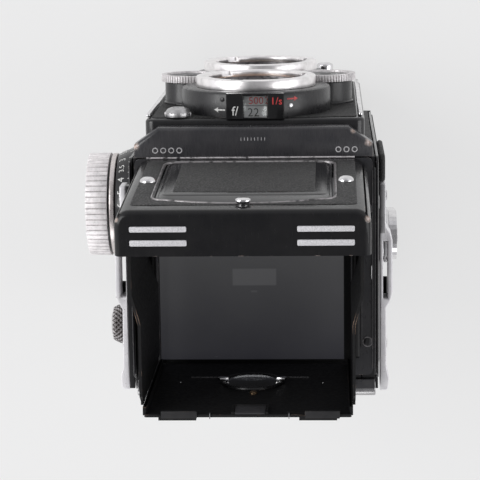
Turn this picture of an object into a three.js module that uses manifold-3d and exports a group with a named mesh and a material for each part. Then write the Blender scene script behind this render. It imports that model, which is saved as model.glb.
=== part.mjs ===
// Twin lens reflex camera with its viewing hood open.
// Millimetres, +Z up. The lenses look along -Y, and +X is the photographer's left, where the focus knob is.
// The body's own frame has x = 0 midway between its sides, y = 0 under the middle of the screen and z = 0
// under the feet. The exported group moves it so that the origin is the middle of the whole box's base.
import * as THREE from "three";
import { mergeVertices } from "three/addons/utils/BufferGeometryUtils.js";
import Module from "manifold-3d";

const wasm = await Module();
wasm.setup();

// ---- driving dimensions ----
const GAP = 0.3; // air between neighbouring pieces
const CORE_HALF = 37.6; // casting, half width
const SKIN = 1.4; // side panel thickness
const SIDE = CORE_HALF + GAP + SKIN; // outer face of a side panel
const FOOT = 1.6; // feet hold the base this high
const BASE_TOP = 5.2; // top of the hinged base
const CORE_TOP = 125.6;
const CORE_FRONT = -38;
const CORE_REAR = 33;
const DECK = 128; // top of the hood's base frame
const DOOR_REAR = 37.3; // outer face of the back door

const TAKING_Z = 55; // lens axes, one above the other
const LENS_PITCH = 42;
const VIEWING_Z = TAKING_Z + LENS_PITCH;
const GLASS_R = 14.5;
const RING_R = 19.3; // outer radius of a bayonet ring
const RING_FRONT = { viewing: -60.9, taking: -61.8 }; // the taking lens stands a little further out

const SCREEN_Y = -2; // the mirror's 45 degree plane passes through the viewing axis here
const CHAMBER_HALF = 33.3; // spool chambers, half width
const TAKE_UP = { y: 20.5, z: 98.3, r: 12.2 };
const SUPPLY = { y: -8.5, z: 18.5 };
const GATE_HALF = 28;
const GATE_Y = 30.3; // film plane

const BOARD = { half: 34.4, low: 8, high: 120.5, front: -49.5, rear: -38.4, wall: 2.4 };
const WHEEL = { x: 22.3, z: 76, r: 10, front: -59.2, rear: -56.6 };
const SCALE_R = 22.5; // figures on the scales, which turn round the viewing lens
const HOUSING_R = 24;
const HOUSING_FRONT = -58;

const FOCUS = { y: -15.5, z: 76, r: 17.3, outer: 57.1, inner: 49.6 };
const CRANK = { y: -4, z: 74, hub: 9, head: 8.3, length: 29, x: [-45.95, -43.3] };

const LID = { half: 35.6, long: 68.7, deep: 12.8, front: -37.9, lean: THREE.MathUtils.degToRad(3.9) };
const LID_WALL = 1;
const FLAP = { half: 25.5, low: 6.4, high: 53.5, bow: 6.5 };
const WALL_HIGH = 189; // top of the hood's side and back walls
const WALL = 0.8;
const BACK_WALL = { half: 29.6, y: 27, hinge: 129 };
const SIDE_WALL_HINGE = { left: 131.5, right: 132.7 };

// ---- materials ----
const material = (color, roughness, metalness) => new THREE.MeshStandardMaterial({ color, roughness, metalness });
const enamel = material(0x17171a, 0.28, 0.2);
const leather = material(0x1c1c1d, 0.75, 0);
const mattBlack = material(0x0d0d0f, 0.85, 0);
const chrome = material(0xd2d0d6, 0.2, 1);
const satin = material(0xbab8c0, 0.38, 1);
const brass = material(0xb08d57, 0.4, 1);
const steel = material(0x8d8d92, 0.35, 1);
const glass = material(0x9aa7ae, 0.05, 0);
const silvered = material(0xe8ecef, 0.03, 1);
const scaleFace = material(0xb9bcc0, 0.5, 0.3);

// ---- solids ----
// A closed geometry as a solid for cutting and joining.
function solid(geometry) {
  const bare = geometry.clone();
  bare.deleteAttribute("normal");
  bare.deleteAttribute("uv");
  const merged = mergeVertices(bare, 1e-4);
  const vertProperties = merged.attributes.position.array;
  const triVerts = new Uint32Array(merged.index.array);
  return new wasm.Manifold(new wasm.Mesh({ numProp: 3, vertProperties, triVerts }));
}

const join = (first, ...rest) => rest.reduce((a, b) => a.add(b), first);
const cut = (first, ...rest) => rest.reduce((a, b) => a.subtract(b), first);

function box([x0, x1], [y0, y1], [z0, z1]) {
  const geometry = new THREE.BoxGeometry(x1 - x0, y1 - y0, z1 - z0);
  return solid(geometry.translate((x0 + x1) / 2, (y0 + y1) / 2, (z0 + z1) / 2));
}

// A cylinder or cone along X, Y or Z, from one coordinate to another. centre holds the other two, in order.
function rod(axis, centre, [from, to], r, { endR = r, sides = 32, turn = 0 } = {}) {
  const geometry = new THREE.CylinderGeometry(endR, r, to - from, sides);
  geometry.rotateY(turn);
  geometry.translate(0, (from + to) / 2, 0);
  if (axis === "x") geometry.rotateZ(-Math.PI / 2).translate(0, centre[0], centre[1]);
  if (axis === "y") geometry.translate(centre[0], 0, centre[1]);
  if (axis === "z") geometry.rotateX(Math.PI / 2).translate(centre[0], centre[1], 0);
  return solid(geometry);
}

// A profile of [radius, distance] points turned about a line along X or Y. The profile closes on the axis.
function turned(axis, centre, profile, sides = 32) {
  const points = profile.map(([r, along]) => new THREE.Vector2(r, along));
  const geometry = new THREE.LatheGeometry(points, sides);
  if (axis === "x") geometry.rotateZ(-Math.PI / 2).translate(0, centre[0], centre[1]);
  if (axis === "y") geometry.translate(centre[0], 0, centre[1]);
  return solid(geometry);
}

const outline = (points) => new THREE.Shape(points.map(([u, v]) => new THREE.Vector2(u, v)));

function roundedOutline([u0, u1], [v0, v1], r) {
  const shape = new THREE.Shape();
  shape.absarc(u1 - r, v0 + r, r, -Math.PI / 2, 0);
  shape.absarc(u1 - r, v1 - r, r, 0, Math.PI / 2);
  shape.absarc(u0 + r, v1 - r, r, Math.PI / 2, Math.PI);
  shape.absarc(u0 + r, v0 + r, r, Math.PI, (3 * Math.PI) / 2);
  return shape;
}

// An outline pushed along one axis. Its own plane is (y, z) for X, (x, z) for Y and (x, y) for Z.
function pushed(axis, shape, [from, to], curveSegments = 4) {
  const geometry = new THREE.ExtrudeGeometry(shape, { depth: to - from, bevelEnabled: false, curveSegments });
  if (axis === "x") {
    const turn = new THREE.Matrix4().makeBasis(
      new THREE.Vector3(0, 1, 0),
      new THREE.Vector3(0, 0, 1),
      new THREE.Vector3(1, 0, 0),
    );
    geometry.applyMatrix4(turn).translate(from, 0, 0);
  }
  if (axis === "y") geometry.rotateX(Math.PI / 2).translate(0, to, 0);
  if (axis === "z") geometry.translate(0, 0, from);
  return solid(geometry);
}

const camera = new THREE.Group();

function add(name, shape, look, parent = camera) {
  const { vertProperties, triVerts } = shape.getMesh();
  const geometry = new THREE.BufferGeometry();
  geometry.setAttribute("position", new THREE.BufferAttribute(vertProperties, 3));
  geometry.setIndex(new THREE.BufferAttribute(triVerts, 1));
  geometry.computeVertexNormals();
  const mesh = new THREE.Mesh(geometry, look);
  mesh.name = name;
  parent.add(mesh);
  return mesh;
}

// ---- body ----
const castingSide = roundedOutline([CORE_FRONT, CORE_REAR], [BASE_TOP + GAP, CORE_TOP], 1);

// The casting is open on the photographer's right, where a separate wall closes its chambers.
function bodyCasting() {
  const block = pushed("x", castingSide, [-CHAMBER_HALF, CORE_HALF]);
  const collar = pushed("y", roundedOutline([-31.6, 31.6], [10.8, 117.7], 2), [-46.7, CORE_FRONT + 1]);
  const collarRoom = box([-30, 30], [-48, CORE_FRONT], [12.4, 116.1]);
  const wide = [-CHAMBER_HALF - 1, CHAMBER_HALF];
  const mirrorLine = VIEWING_Z - SCREEN_Y - 3.1; // z minus y along the slope behind the mirror
  const mirrorRoom = pushed("x", outline([[-33, 120], [-33, 73], [73 - mirrorLine, 73], [120 - mirrorLine, 120]]), wide);
  // The room's mouth is narrower than the room, so that the screen rests on a ledge.
  const mirrorRoomMouth = pushed(
    "x",
    outline([[-33, CORE_TOP + 1], [-33, 119.9], [119.9 - mirrorLine, 119.9], [27, mirrorLine + 27], [27, CORE_TOP + 1]]),
    [-29.5, 29.5],
  );
  const screenSeat = box([-31, 31], [-34.3, 28.2], [123.2, CORE_TOP + 1]);
  const viewingHole = rod("y", [0, VIEWING_Z], [CORE_FRONT - 1, -30], 16);
  // A square frustum carries the light from the lens to the film gate.
  const lightCone = rod("y", [0, TAKING_Z], [CORE_FRONT - 0.5, GATE_Y], 14 * Math.SQRT2, {
    endR: GATE_HALF * Math.SQRT2,
    sides: 4,
    turn: Math.PI / 4,
  });
  const filmPath = box(wide, [GATE_Y - 0.1, CORE_REAR + 1], [20, 92]);
  const takeUpRoom = rod("x", [TAKE_UP.y, TAKE_UP.z], wide, TAKE_UP.r, { sides: 28 });
  const takeUpDoor = box(wide, [TAKE_UP.y, CORE_REAR + 1], [TAKE_UP.z - TAKE_UP.r + 0.1, TAKE_UP.z + TAKE_UP.r - 0.1]);
  const rollerPocket = box(wide, [26, CORE_REAR + 1], [84, 90]);
  const supplyRoom = pushed(
    "x",
    outline([[-21.5, 4], [CORE_REAR + 1, 4], [CORE_REAR + 1, 24.2], [4, 24.2], [4, 30], [-21.5, 30]]),
    wide,
  );
  // Pins of the pull knobs and the focusing shaft pass through the left wall.
  const pinHoles = [TAKE_UP, SUPPLY].map(({ y, z }) => rod("x", [y, z], [30, CORE_HALF + 1], 2.6, { sides: 16 }));
  const focusHole = rod("x", [FOCUS.y, FOCUS.z], [34, CORE_HALF + 1], 3.4, { sides: 16 });
  return cut(
    join(block, cut(collar, collarRoom)),
    mirrorRoom, mirrorRoomMouth, screenSeat, viewingHole, lightCone,
    filmPath, takeUpRoom, takeUpDoor, rollerPocket, supplyRoom,
    ...pinHoles, focusHole,
  );
}

// The crank's spindle passes through the right wall.
function castingWallRight() {
  const plate = pushed("x", castingSide, [-CORE_HALF, -CHAMBER_HALF - GAP]);
  return cut(plate, rod("x", [CRANK.y, CRANK.z], [-CORE_HALF - 1, -CHAMBER_HALF + 1], 3, { sides: 16 }));
}

// A side panel covers the casting. hand is +1 on the photographer's left.
function sidePanel(hand, holes) {
  const x = [hand * SIDE, hand * (CORE_HALF + GAP)].sort((a, b) => a - b);
  const plate = pushed("x", roundedOutline([CORE_FRONT, CORE_REAR], [BASE_TOP + GAP, CORE_TOP], 2.5), x);
  return cut(plate, ...holes.map(({ y, z, r }) => rod("x", [y, z], [x[0] - 1, x[1] + 1], r, { sides: 24 })));
}

add("body_casting", bodyCasting(), mattBlack);
add("casting_wall_right", castingWallRight(), mattBlack);
add("side_panel_left", sidePanel(1, [
  { y: TAKE_UP.y, z: TAKE_UP.z, r: 3 },
  { y: SUPPLY.y, z: SUPPLY.z, r: 3 },
  { y: FOCUS.y, z: FOCUS.z, r: 4 },
]), leather);
add("side_panel_right", sidePanel(-1, [{ y: CRANK.y, z: CRANK.z, r: 3.4 }]), leather);

// The cover above the lens board, with its front corners cut off.
const coverPlan = [[-37, -38.3], [-37, -42.4], [-29.5, -47.6], [29.5, -47.6], [37, -42.4], [37, -38.3]];
add("top_front_cover", pushed("z", outline(coverPlan), [121.2, 127]), enamel);

add("ground_glass", box([-30.7, 30.7], [-34, 27.9], [123.6, 125.4]), glass);

function hoodBaseFrame() {
  const plate = pushed("z", roundedOutline([-37, 37], [-38, 31], 2), [CORE_TOP + 0.4, DECK]);
  const opening = box([-30.1, 30.1], [-33.4, 27.6], [CORE_TOP - 1, DECK + 1]);
  const ears = [-31.6, 24.7].flatMap((y) => [
    box([31, 32.6], [y - 0.6, y + 0.6], [DECK - 1, SIDE_WALL_HINGE.left + 1]),
    box([-32.6, -31], [y - 0.6, y + 0.6], [DECK - 1, SIDE_WALL_HINGE.right + 1]),
  ]);
  return join(cut(plate, opening), ...ears);
}
add("hood_base_frame", hoodBaseFrame(), enamel);

const mirror = add("mirror", box([-26.5, 26.5], [-31.5, 33], [-1.8, 0]), silvered);
mirror.position.set(0, SCREEN_Y + 0.4, VIEWING_Z + 0.4);
mirror.rotation.x = Math.PI / 4;

// A strap lug is a long plate with a raised bridge: the strap passes down through the slot.
const STRAP_LUG = {
  left: {
    plan: [
      [39.6, -28], [42.9, -28], [42.9, -14], [44.9, -11], [44.9, 8], [42.8, 12], [43, 31], [43.8, 33.5], [43.8, 38.3], [39.6, 38.3],
    ],
    slot: [[41.5, -10], [43.4, -10], [43.4, 8], [41.5, 8]],
  },
  right: {
    plan: [
      [39.6, -28], [41.2, -28], [41.4, -14.7], [43.4, -11], [43.4, 7.5], [41.4, 12], [41.5, 31], [42.3, 35], [42.3, 38.5], [39.6, 38.5],
    ],
    slot: [[40.4, -10], [41.9, -10], [41.9, 8.7], [40.4, 8.7]],
  },
};
function strapLug(hand) {
  const { plan, slot } = hand > 0 ? STRAP_LUG.left : STRAP_LUG.right;
  const mirrored = (points) => (hand > 0 ? points : points.map(([x, y]) => [-x, y]).reverse());
  return cut(pushed("z", outline(mirrored(plan)), [109.5, 118]), pushed("z", outline(mirrored(slot)), [100, 130]));
}
add("strap_lug_left", strapLug(1), satin);
add("strap_lug_right", strapLug(-1), satin);

function filmRoller(y, z) {
  return join(
    rod("x", [y, z], [-30.5, 30.5], 2.2, { sides: 16 }),
    rod("x", [y, z], [-33, 33], 1, { sides: 10 }),
  );
}
add("film_roller_upper", filmRoller(28.7, 86.4), steel);
add("film_roller_lower", filmRoller(28.3, 21.2), steel);

function counterWindow() {
  const [outer, inner] = [-SIDE - 1.4, -SIDE - GAP];
  return turned("x", [-27, 100], [[0, outer], [5, outer], [5.6, outer + 0.5], [5.6, inner], [0, inner]], 24);
}
add("frame_counter_window", counterWindow(), chrome);

// ---- focusing: the knob turns and the lens board slides ----
function focusKnob() {
  const teeth = 40;
  const flute = 0.45; // depth
  const points = [];
  for (let i = 0; i < teeth * 2; i += 1) {
    const angle = (i * Math.PI) / teeth;
    const r = FOCUS.r - (i % 2 ? flute : 0);
    points.push([FOCUS.y + r * Math.cos(angle), FOCUS.z + r * Math.sin(angle)]);
  }
  const grip = pushed("x", outline(points), [FOCUS.inner, FOCUS.outer]);
  const centre = [FOCUS.y, FOCUS.z];
  const flange = rod("x", centre, [FOCUS.inner - 2.1, FOCUS.inner + 0.5], FOCUS.r - 0.4);
  const dish = rod("x", centre, [FOCUS.outer - 1.2, FOCUS.outer + 1], 14.6, { sides: 40 });
  const spindle = rod("x", centre, [35, FOCUS.inner], 2.6, { sides: 16 });
  return join(cut(grip, dish), flange, spindle);
}
add("focus_knob", focusKnob(), satin);

// The distance scale is a cone ring that widens towards the body.
function distanceScale() {
  const profile = [[3, 40], [19.6, 40], [19.6, 41.2], [17, 47.2], [3, 47.2]];
  return turned("x", [FOCUS.y, FOCUS.z], [...profile, profile[0]], 40);
}
add("distance_scale_ring", distanceScale(), enamel);

// ---- film advance crank, folded against the right side ----
add("crank_hub", join(
  rod("x", [CRANK.y, CRANK.z], [-43.1, -SIDE - GAP], CRANK.hub),
  rod("x", [CRANK.y, CRANK.z], [-SIDE - 1, -35], 2.6, { sides: 16 }),
), satin);

// The arm is slotted, and the handle folds flat into the slot.
const HANDLE = { z: CRANK.z - CRANK.length + 4.5, r: 1.3, long: 15 };
const ARM_MID = (CRANK.x[0] + CRANK.x[1]) / 2;
function crankArm() {
  const end = CRANK.z - CRANK.length;
  const shape = new THREE.Shape();
  shape.absarc(CRANK.y, CRANK.z, CRANK.head, 0, Math.PI);
  shape.absarc(CRANK.y, end, 4.5, Math.PI, 2 * Math.PI);
  const slot = roundedOutline([CRANK.y - 2.1, CRANK.y + 2.1], [HANDLE.z - 2.2, HANDLE.z + HANDLE.long + 0.5], 1);
  const pinHole = rod("y", [ARM_MID, HANDLE.z], [CRANK.y - 3.6, CRANK.y + 3.6], 0.95, { sides: 12 });
  return cut(pushed("x", shape, CRANK.x, 8), pushed("x", slot, [-50, -40]), pinHole);
}
add("crank_arm", crankArm(), chrome);

function crankHandle() {
  const centre = [ARM_MID, CRANK.y];
  const grip = rod("z", centre, [HANDLE.z, HANDLE.z + HANDLE.long], 1.1, { endR: HANDLE.r, sides: 16 });
  const knuckle = rod("y", [ARM_MID, HANDLE.z], [CRANK.y - 1.7, CRANK.y + 1.7], 1.3, { sides: 16 });
  const pin = rod("y", [ARM_MID, HANDLE.z], [CRANK.y - 3.3, CRANK.y + 3.3], 0.6, { sides: 12 });
  return join(grip, knuckle, pin);
}
add("crank_handle", crankHandle(), satin);

// ---- pull knobs that release the spools, and the take-up spool ----
function pullKnob({ y, z }) {
  const profile = [[0, 27.5], [2.2, 27.5], [2.2, SIDE + GAP], [6.6, SIDE + GAP], [6.9, 41], [6.9, 45.1], [6, 47], [4, 48], [0, 48.4]];
  return turned("x", [y, z], profile, 28);
}
add("spool_knob_upper", pullKnob(TAKE_UP), satin);
add("spool_knob_lower", pullKnob(SUPPLY), satin);

function spool({ y, z }) {
  const flangeR = 11.6;
  const half = 31;
  const core = rod("x", [y, z], [-half, half], 5.5, { sides: 20 });
  const flanges = [-1, 1].map((hand) => {
    const ends = [hand * half, hand * (half - 1)].sort((a, b) => a - b);
    return rod("x", [y, z], ends, flangeR, { sides: 28 });
  });
  const pinSeat = rod("x", [y, z], [25, half + 1], 3, { sides: 12 });
  return cut(join(core, ...flanges), pinSeat);
}
add("take_up_spool", spool(TAKE_UP), enamel);

// ---- back door: rear and base in one hinged piece ----
const HINGE = { y: 36.4, z: 124, r: 2.2 };
function backDoor() {
  const wide = [-SIDE + 0.6, SIDE - 0.6];
  const shape = outline([
    [CORE_FRONT, FOOT + 1], [CORE_FRONT + 1, FOOT], [DOOR_REAR - 3, FOOT], [DOOR_REAR, FOOT + 3], [DOOR_REAR, 120.5],
    [CORE_REAR + GAP, 120.5], [CORE_REAR + GAP, BASE_TOP], [CORE_FRONT, BASE_TOP],
  ]);
  const socketSeat = rod("z", [0, -2], [0, 10], 7.3, { sides: 28 });
  return cut(pushed("x", shape, wide), socketSeat);
}
add("back_door", backDoor(), leather);

function doorHinge() {
  const barrel = rod("x", [HINGE.y, HINGE.z], [-37.8, 37.8], HINGE.r, { sides: 20 });
  const leaf = box([-35, 35], [CORE_REAR + GAP, HINGE.y], [HINGE.z - 1.5, HINGE.z + 0.5]);
  return join(barrel, leaf);
}
add("back_door_hinge", doorHinge(), satin);

add("pressure_plate", pushed("y", roundedOutline([-29, 29], [25, 86], 3), [31.2, 32.2]), mattBlack);

// The tripod socket is a flanged bush with a blind 3/8 inch bore.
const socketBore = rod("z", [0, -2], [-1, 5], 4.76, { sides: 28 });
add("tripod_socket", cut(rod("z", [0, -2], [0.4, 5.4], 7, { sides: 28 }), socketBore), steel);

function doorLatch() {
  const ring = cut(rod("z", [0, -2], [0.5, FOOT - 0.3], 13.5, { sides: 36 }), rod("z", [0, -2], [0, 2], 7.6, { sides: 28 }));
  const thumb = pushed("z", roundedOutline([-3.5, 3.5], [-26, -13], 2.5), [0.5, FOOT - 0.3]);
  return join(ring, thumb);
}
add("door_latch", doorLatch(), satin);

const feet = { front_left: [30, -30], front_right: [-30, -30], rear_left: [30, 28], rear_right: [-30, 28] };
for (const [place, centre] of Object.entries(feet)) {
  add(`foot_${place}`, rod("z", centre, [0, FOOT - 0.2], 3, { endR: 3.6, sides: 20 }), satin);
}

// ---- lens board and what it carries ----
function lensBoard() {
  const { half, low, high, front, rear, wall } = BOARD;
  const shell = pushed("y", roundedOutline([-half, half], [low, high], 3.5), [front, rear]);
  const hollow = pushed("y", roundedOutline([wall - half, half - wall], [low + wall, high - wall], 2), [front + 2.5, rear + 1]);
  const lensHoles = [TAKING_Z, VIEWING_Z].map((z) => rod("y", [0, z], [front - 1, front + 4], 15.2));
  const posts = [-1, 1].map((hand) => rod("y", [hand * WHEEL.x, WHEEL.z], [WHEEL.rear + GAP, front + 0.5], 8.8, { sides: 24 }));
  const axles = [-1, 1].map((hand) => rod("y", [hand * WHEEL.x, WHEEL.z], [-58, -50], 2.4, { sides: 12 }));
  const buttonHole = rod("y", [-22, 17], [front - 1, front + 4], 2.7, { sides: 16 });
  return cut(join(cut(shell, hollow, ...lensHoles), ...posts), ...axles, buttonHole);
}
add("lens_board", lensBoard(), leather);

for (const [name, hand] of [["front_trim_left", 1], ["front_trim_right", -1]]) {
  const x = [hand * 32.6, hand * 34.2].sort((a, b) => a - b);
  add(name, pushed("y", roundedOutline(x, [12, 116.5], 0.7), [-50.7, BOARD.front - GAP], 2), chrome);
}

const wheelRooms = [-1, 1].map((hand) => rod("y", [hand * WHEEL.x, WHEEL.z], [-61, -49], WHEEL.r + 0.5, { sides: 28 }));
// The window block is a flat-topped box on the drum, and its glass lies flush in a slot in the roof.
const BLOCK = { x: [-9.8, 8.4], y: [-57.4, BOARD.front - GAP], top: 121.6 };
const WINDOW = { x: [-4.6, 3.5], y: [-56.9, -50.2] };

// The housing round the viewing lens is a drum with room for two scale discs.
function viewingHousing() {
  const drum = rod("y", [0, VIEWING_Z], [HOUSING_FRONT, BOARD.front - GAP], HOUSING_R, { sides: 48 });
  const block = box(BLOCK.x, BLOCK.y, [VIEWING_Z + 18, BLOCK.top]);
  const room = rod("y", [0, VIEWING_Z], [HOUSING_FRONT + 1, -49], 22.9, { sides: 48 });
  const mouth = rod("y", [0, VIEWING_Z], [-60, -49], 17);
  const window = box(WINDOW.x, WINDOW.y, [115, 125]);
  return cut(join(drum, block), room, mouth, window, ...wheelRooms);
}
add("viewing_lens_housing", viewingHousing(), enamel);

function takingHousing() {
  const drum = rod("y", [0, TAKING_Z], [HOUSING_FRONT + 0.6, BOARD.front - GAP], 22.4, { sides: 44 });
  const mouth = rod("y", [0, TAKING_Z], [-60, -49], 17);
  const neighbour = rod("y", [0, VIEWING_Z], [-60, -49], HOUSING_R + GAP, { sides: 48 });
  return cut(drum, mouth, neighbour, ...wheelRooms);
}
add("taking_lens_housing", takingHousing(), enamel);

function bayonetRing(z, front) {
  const profile = [
    [15.1, front + 0.4], [15.6, front], [RING_R - 0.5, front], [RING_R, front + 0.4], [RING_R, HOUSING_FRONT - GAP],
    [16.6, HOUSING_FRONT - GAP], [16.6, BOARD.front - GAP], [15.1, BOARD.front - GAP],
  ];
  return turned("y", [0, z], [...profile, profile[0]], 44);
}
add("viewing_bayonet_ring", bayonetRing(VIEWING_Z, RING_FRONT.viewing), chrome);
add("taking_bayonet_ring", bayonetRing(TAKING_Z, RING_FRONT.taking), chrome);

// A lens element, thickest at its axis.
function lensElement(z, r, front, thick, bulge) {
  const profile = [[0, front - bulge], [r * 0.6, front - bulge * 0.62], [r, front], [r, front + thick], [0, front + thick]];
  return turned("y", [0, z], profile, 36);
}
add("viewing_lens", lensElement(VIEWING_Z, GLASS_R, -55.5, 3.5, 2.2), glass);
add("taking_lens", lensElement(TAKING_Z, GLASS_R - 2.5, -54.5, 4, 1.8), glass);

// The shutter sits behind the board on the taking axis, with the iris opening through it.
add("shutter_unit", cut(
  rod("y", [0, TAKING_Z], [-46.6, -39.5], 21),
  rod("y", [0, TAKING_Z], [-48, -43], 15),
  rod("y", [0, TAKING_Z], [-48, -38], 5, { sides: 10 }),
), steel);

// A scale is a ring round the mirror tube with a raised arc, whose rim carries the figures.
function scale([from, to], [start, end]) {
  const web = cut(
    rod("y", [0, VIEWING_Z], [to - 0.8, to], 19.8, { sides: 40 }),
    rod("y", [0, VIEWING_Z], [from - 1, to + 1], 17.3, { sides: 40 }),
  );
  const arc = (r0, r1, y) => {
    const shape = new THREE.Shape();
    shape.absarc(0, VIEWING_Z, r1, start, end, false);
    shape.absarc(0, VIEWING_Z, r0, end, start, true);
    return pushed("y", shape, y, 20);
  };
  return join(web, arc(19.3, 22, [to - 0.8, to]), arc(21.4, SCALE_R, [from, to]));
}
const degrees = ([from, to]) => [THREE.MathUtils.degToRad(from), THREE.MathUtils.degToRad(to)];
add("aperture_scale", scale([-53.2, -50.2], degrees([32, 148])), scaleFace);
add("shutter_speed_scale", scale([-56.7, -53.7], degrees([76, 196])), scaleFace);

const inset = ([from, to], by) => [from + by, to - by];
add("dial_window", box(inset(WINDOW.x, 0.2), inset(WINDOW.y, 0.2), [120.5, BLOCK.top - 0.2]), glass);

// Knurled wheels at the waist between the lenses set the aperture and the shutter speed.
function settingWheel(hand) {
  const teeth = 36;
  const points = [];
  for (let i = 0; i < teeth * 2; i += 1) {
    const angle = (i * Math.PI) / teeth;
    const r = WHEEL.r - (i % 2 ? 0.4 : 0);
    points.push([hand * WHEEL.x + r * Math.cos(angle), WHEEL.z + r * Math.sin(angle)]);
  }
  const rim = pushed("y", outline(points), [WHEEL.front, WHEEL.rear]);
  const axle = rod("y", [hand * WHEEL.x, WHEEL.z], [WHEEL.rear - 0.5, -51], 2, { sides: 12 });
  return join(rim, axle);
}
add("aperture_wheel", settingWheel(1), satin);
add("shutter_speed_wheel", settingWheel(-1), satin);

const RELEASE = [-22, 17];
add("release_button", turned("y", RELEASE, [[0, -57], [2.6, -57], [3, -56.4], [3, -53], [2.2, -53], [2.2, -46], [0, -46]], 20), chrome);

function releaseGuard() {
  const ring = cut(rod("y", RELEASE, [-52.3, BOARD.front - GAP], 5.6, { sides: 28 }), rod("y", RELEASE, [-54, -48], 3.4, { sides: 20 }));
  const tab = box([RELEASE[0] - 9, RELEASE[0] - 4.8], [-52.3, -50.6], [15.8, 18.2]);
  return join(ring, tab);
}
add("release_guard", releaseGuard(), satin);

const flashProfile = [
  [1, -52.4], [2.6, -52.4], [3.9, -51.4], [4.2, -50.4], [4.2, BOARD.front - GAP], [1, BOARD.front - GAP], [1, -52.4],
];
add("flash_socket", turned("y", [24, 115.6], flashProfile, 24), chrome);

function timerLever() {
  const centre = [20, 31];
  const boss = rod("y", centre, [-52.6, BOARD.front - GAP], 3.2, { sides: 20 });
  const arm = box([centre[0] - 1.3, centre[0] + 1.3], [-52.6, -51], [centre[1] - 9, centre[1]]);
  const tip = rod("y", [centre[0], centre[1] - 9], [-54, -51], 2, { sides: 16 });
  return join(boss, arm, tip);
}
add("self_timer_lever", timerLever(), chrome);

// ---- hood ----
// The lid's frame: x across, y inwards from its outer face and z along it from its lower end.
const lid = new THREE.Group();
lid.position.set(0, LID.front, DECK);
lid.rotation.x = -LID.lean;
camera.add(lid);

// The flap's outline, whose top edge rises to a point of catch at the middle.
function flapOutline(grow) {
  const { half, low, high, bow } = FLAP;
  const shape = new THREE.Shape();
  shape.moveTo(-half - grow, low - grow);
  shape.lineTo(half + grow, low - grow);
  shape.lineTo(half + grow, high + grow);
  shape.quadraticCurveTo(0, high + grow + bow * 2, -half - grow, high + grow);
  return shape;
}

function hoodLid() {
  const { half, long, deep } = LID;
  const corner = 3.5;
  const pivot = { y: 6, z: 7, r: 6.7 }; // the skirts are rounded about the hinge
  const shell = pushed("y", roundedOutline([-half, half], [0.9, long], corner), [0, deep]);
  const hollow = box([LID_WALL - half, half - LID_WALL], [LID_WALL, deep + 1], [-1, long - LID_WALL]);
  const heel = box([-half - 1, half + 1], [pivot.y, deep + 1], [-1, pivot.z]);
  const round = rod("x", [pivot.y, pivot.z], [-half - 2, half + 2], pivot.r, { sides: 40 });
  return cut(shell, hollow, cut(heel, round), pushed("y", flapOutline(0.4), [-1, 3], 8));
}
add("hood_lid", hoodLid(), enamel, lid);
add("sports_finder_flap", pushed("y", flapOutline(0), [-0.3, LID_WALL], 8), leather, lid);
add("flap_catch", turned("y", [0.5, 61.3], [[0, -2], [2, -2], [2.6, -1.4], [2.6, -0.6], [0, -0.6]], 20), chrome, lid);
for (const [name, x] of [["lid_stud_left", 29.5], ["lid_stud_right", -28.6]]) {
  add(name, turned("y", [x, 32.5], [[0, -1.9], [1.8, -1.6], [2.6, -0.9], [2.6, -GAP], [0, -GAP]], 20), chrome, lid);
}

// The magnifier folds flat behind the flap and swings out over the screen.
const MAGNIFIER = { z: 36, r: 11.5, hinge: 51, y: [1.6, 4.4] };
function magnifierArm() {
  const { z, r, hinge, y } = MAGNIFIER;
  const ring = rod("y", [0, z], y, r + 1.5, { sides: 36 });
  const legs = [-1, 1].map((hand) => {
    const x = [hand * 10, hand * 12.5].sort((a, b) => a - b);
    return box(x, y, [z, hinge + 1]);
  });
  const bar = rod("x", [3, hinge], [-12.5, 12.5], 1.2, { sides: 12 });
  return cut(join(ring, ...legs, bar), rod("y", [0, z], [0, 6], r, { sides: 36 }));
}
add("magnifier_arm", magnifierArm(), mattBlack, lid);
add("magnifier_lens", turned("y", [0, MAGNIFIER.z], [[0, 1.7], [7, 2.1], [11.2, 2.9], [7, 3.9], [0, 4.3]], 32), glass, lid);

// A side wall is a sheet with a joggle: its rear half stands further in than its front half.
function hoodSideWall(hand, hingeZ) {
  const [front, bend, straight, rear] = [-30, -8, 1, 23.7];
  const [outX, inX] = [33.2, 30.8];
  const plan = [
    [outX, front], [outX, bend], [inX, straight], [inX, rear],
    [inX - WALL, rear], [inX - WALL, straight], [outX - WALL, bend], [outX - WALL, front],
  ];
  const mirrored = hand > 0 ? plan : plan.map(([x, y]) => [-x, y]).reverse();
  const sheet = pushed("z", outline(mirrored), [hingeZ - 0.8, WALL_HIGH]);
  // The front edge follows the lid's lean, and the top corners are eased.
  const side = outline([
    [front, hingeZ - 1], [rear, hingeZ - 1], [rear, WALL_HIGH - 3], [rear - 2, WALL_HIGH], [front + 6.5, WALL_HIGH], [front + 4, WALL_HIGH - 3],
  ]);
  const hinge = rod("y", [hand * 31.6, hingeZ], [front + 0.5, rear], 1.15, { sides: 12 });
  return join(sheet.intersect(pushed("x", side, [-40, 40])), hinge);
}
add("hood_side_wall_left", hoodSideWall(1, SIDE_WALL_HINGE.left), mattBlack);
add("hood_side_wall_right", hoodSideWall(-1, SIDE_WALL_HINGE.right), mattBlack);

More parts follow.
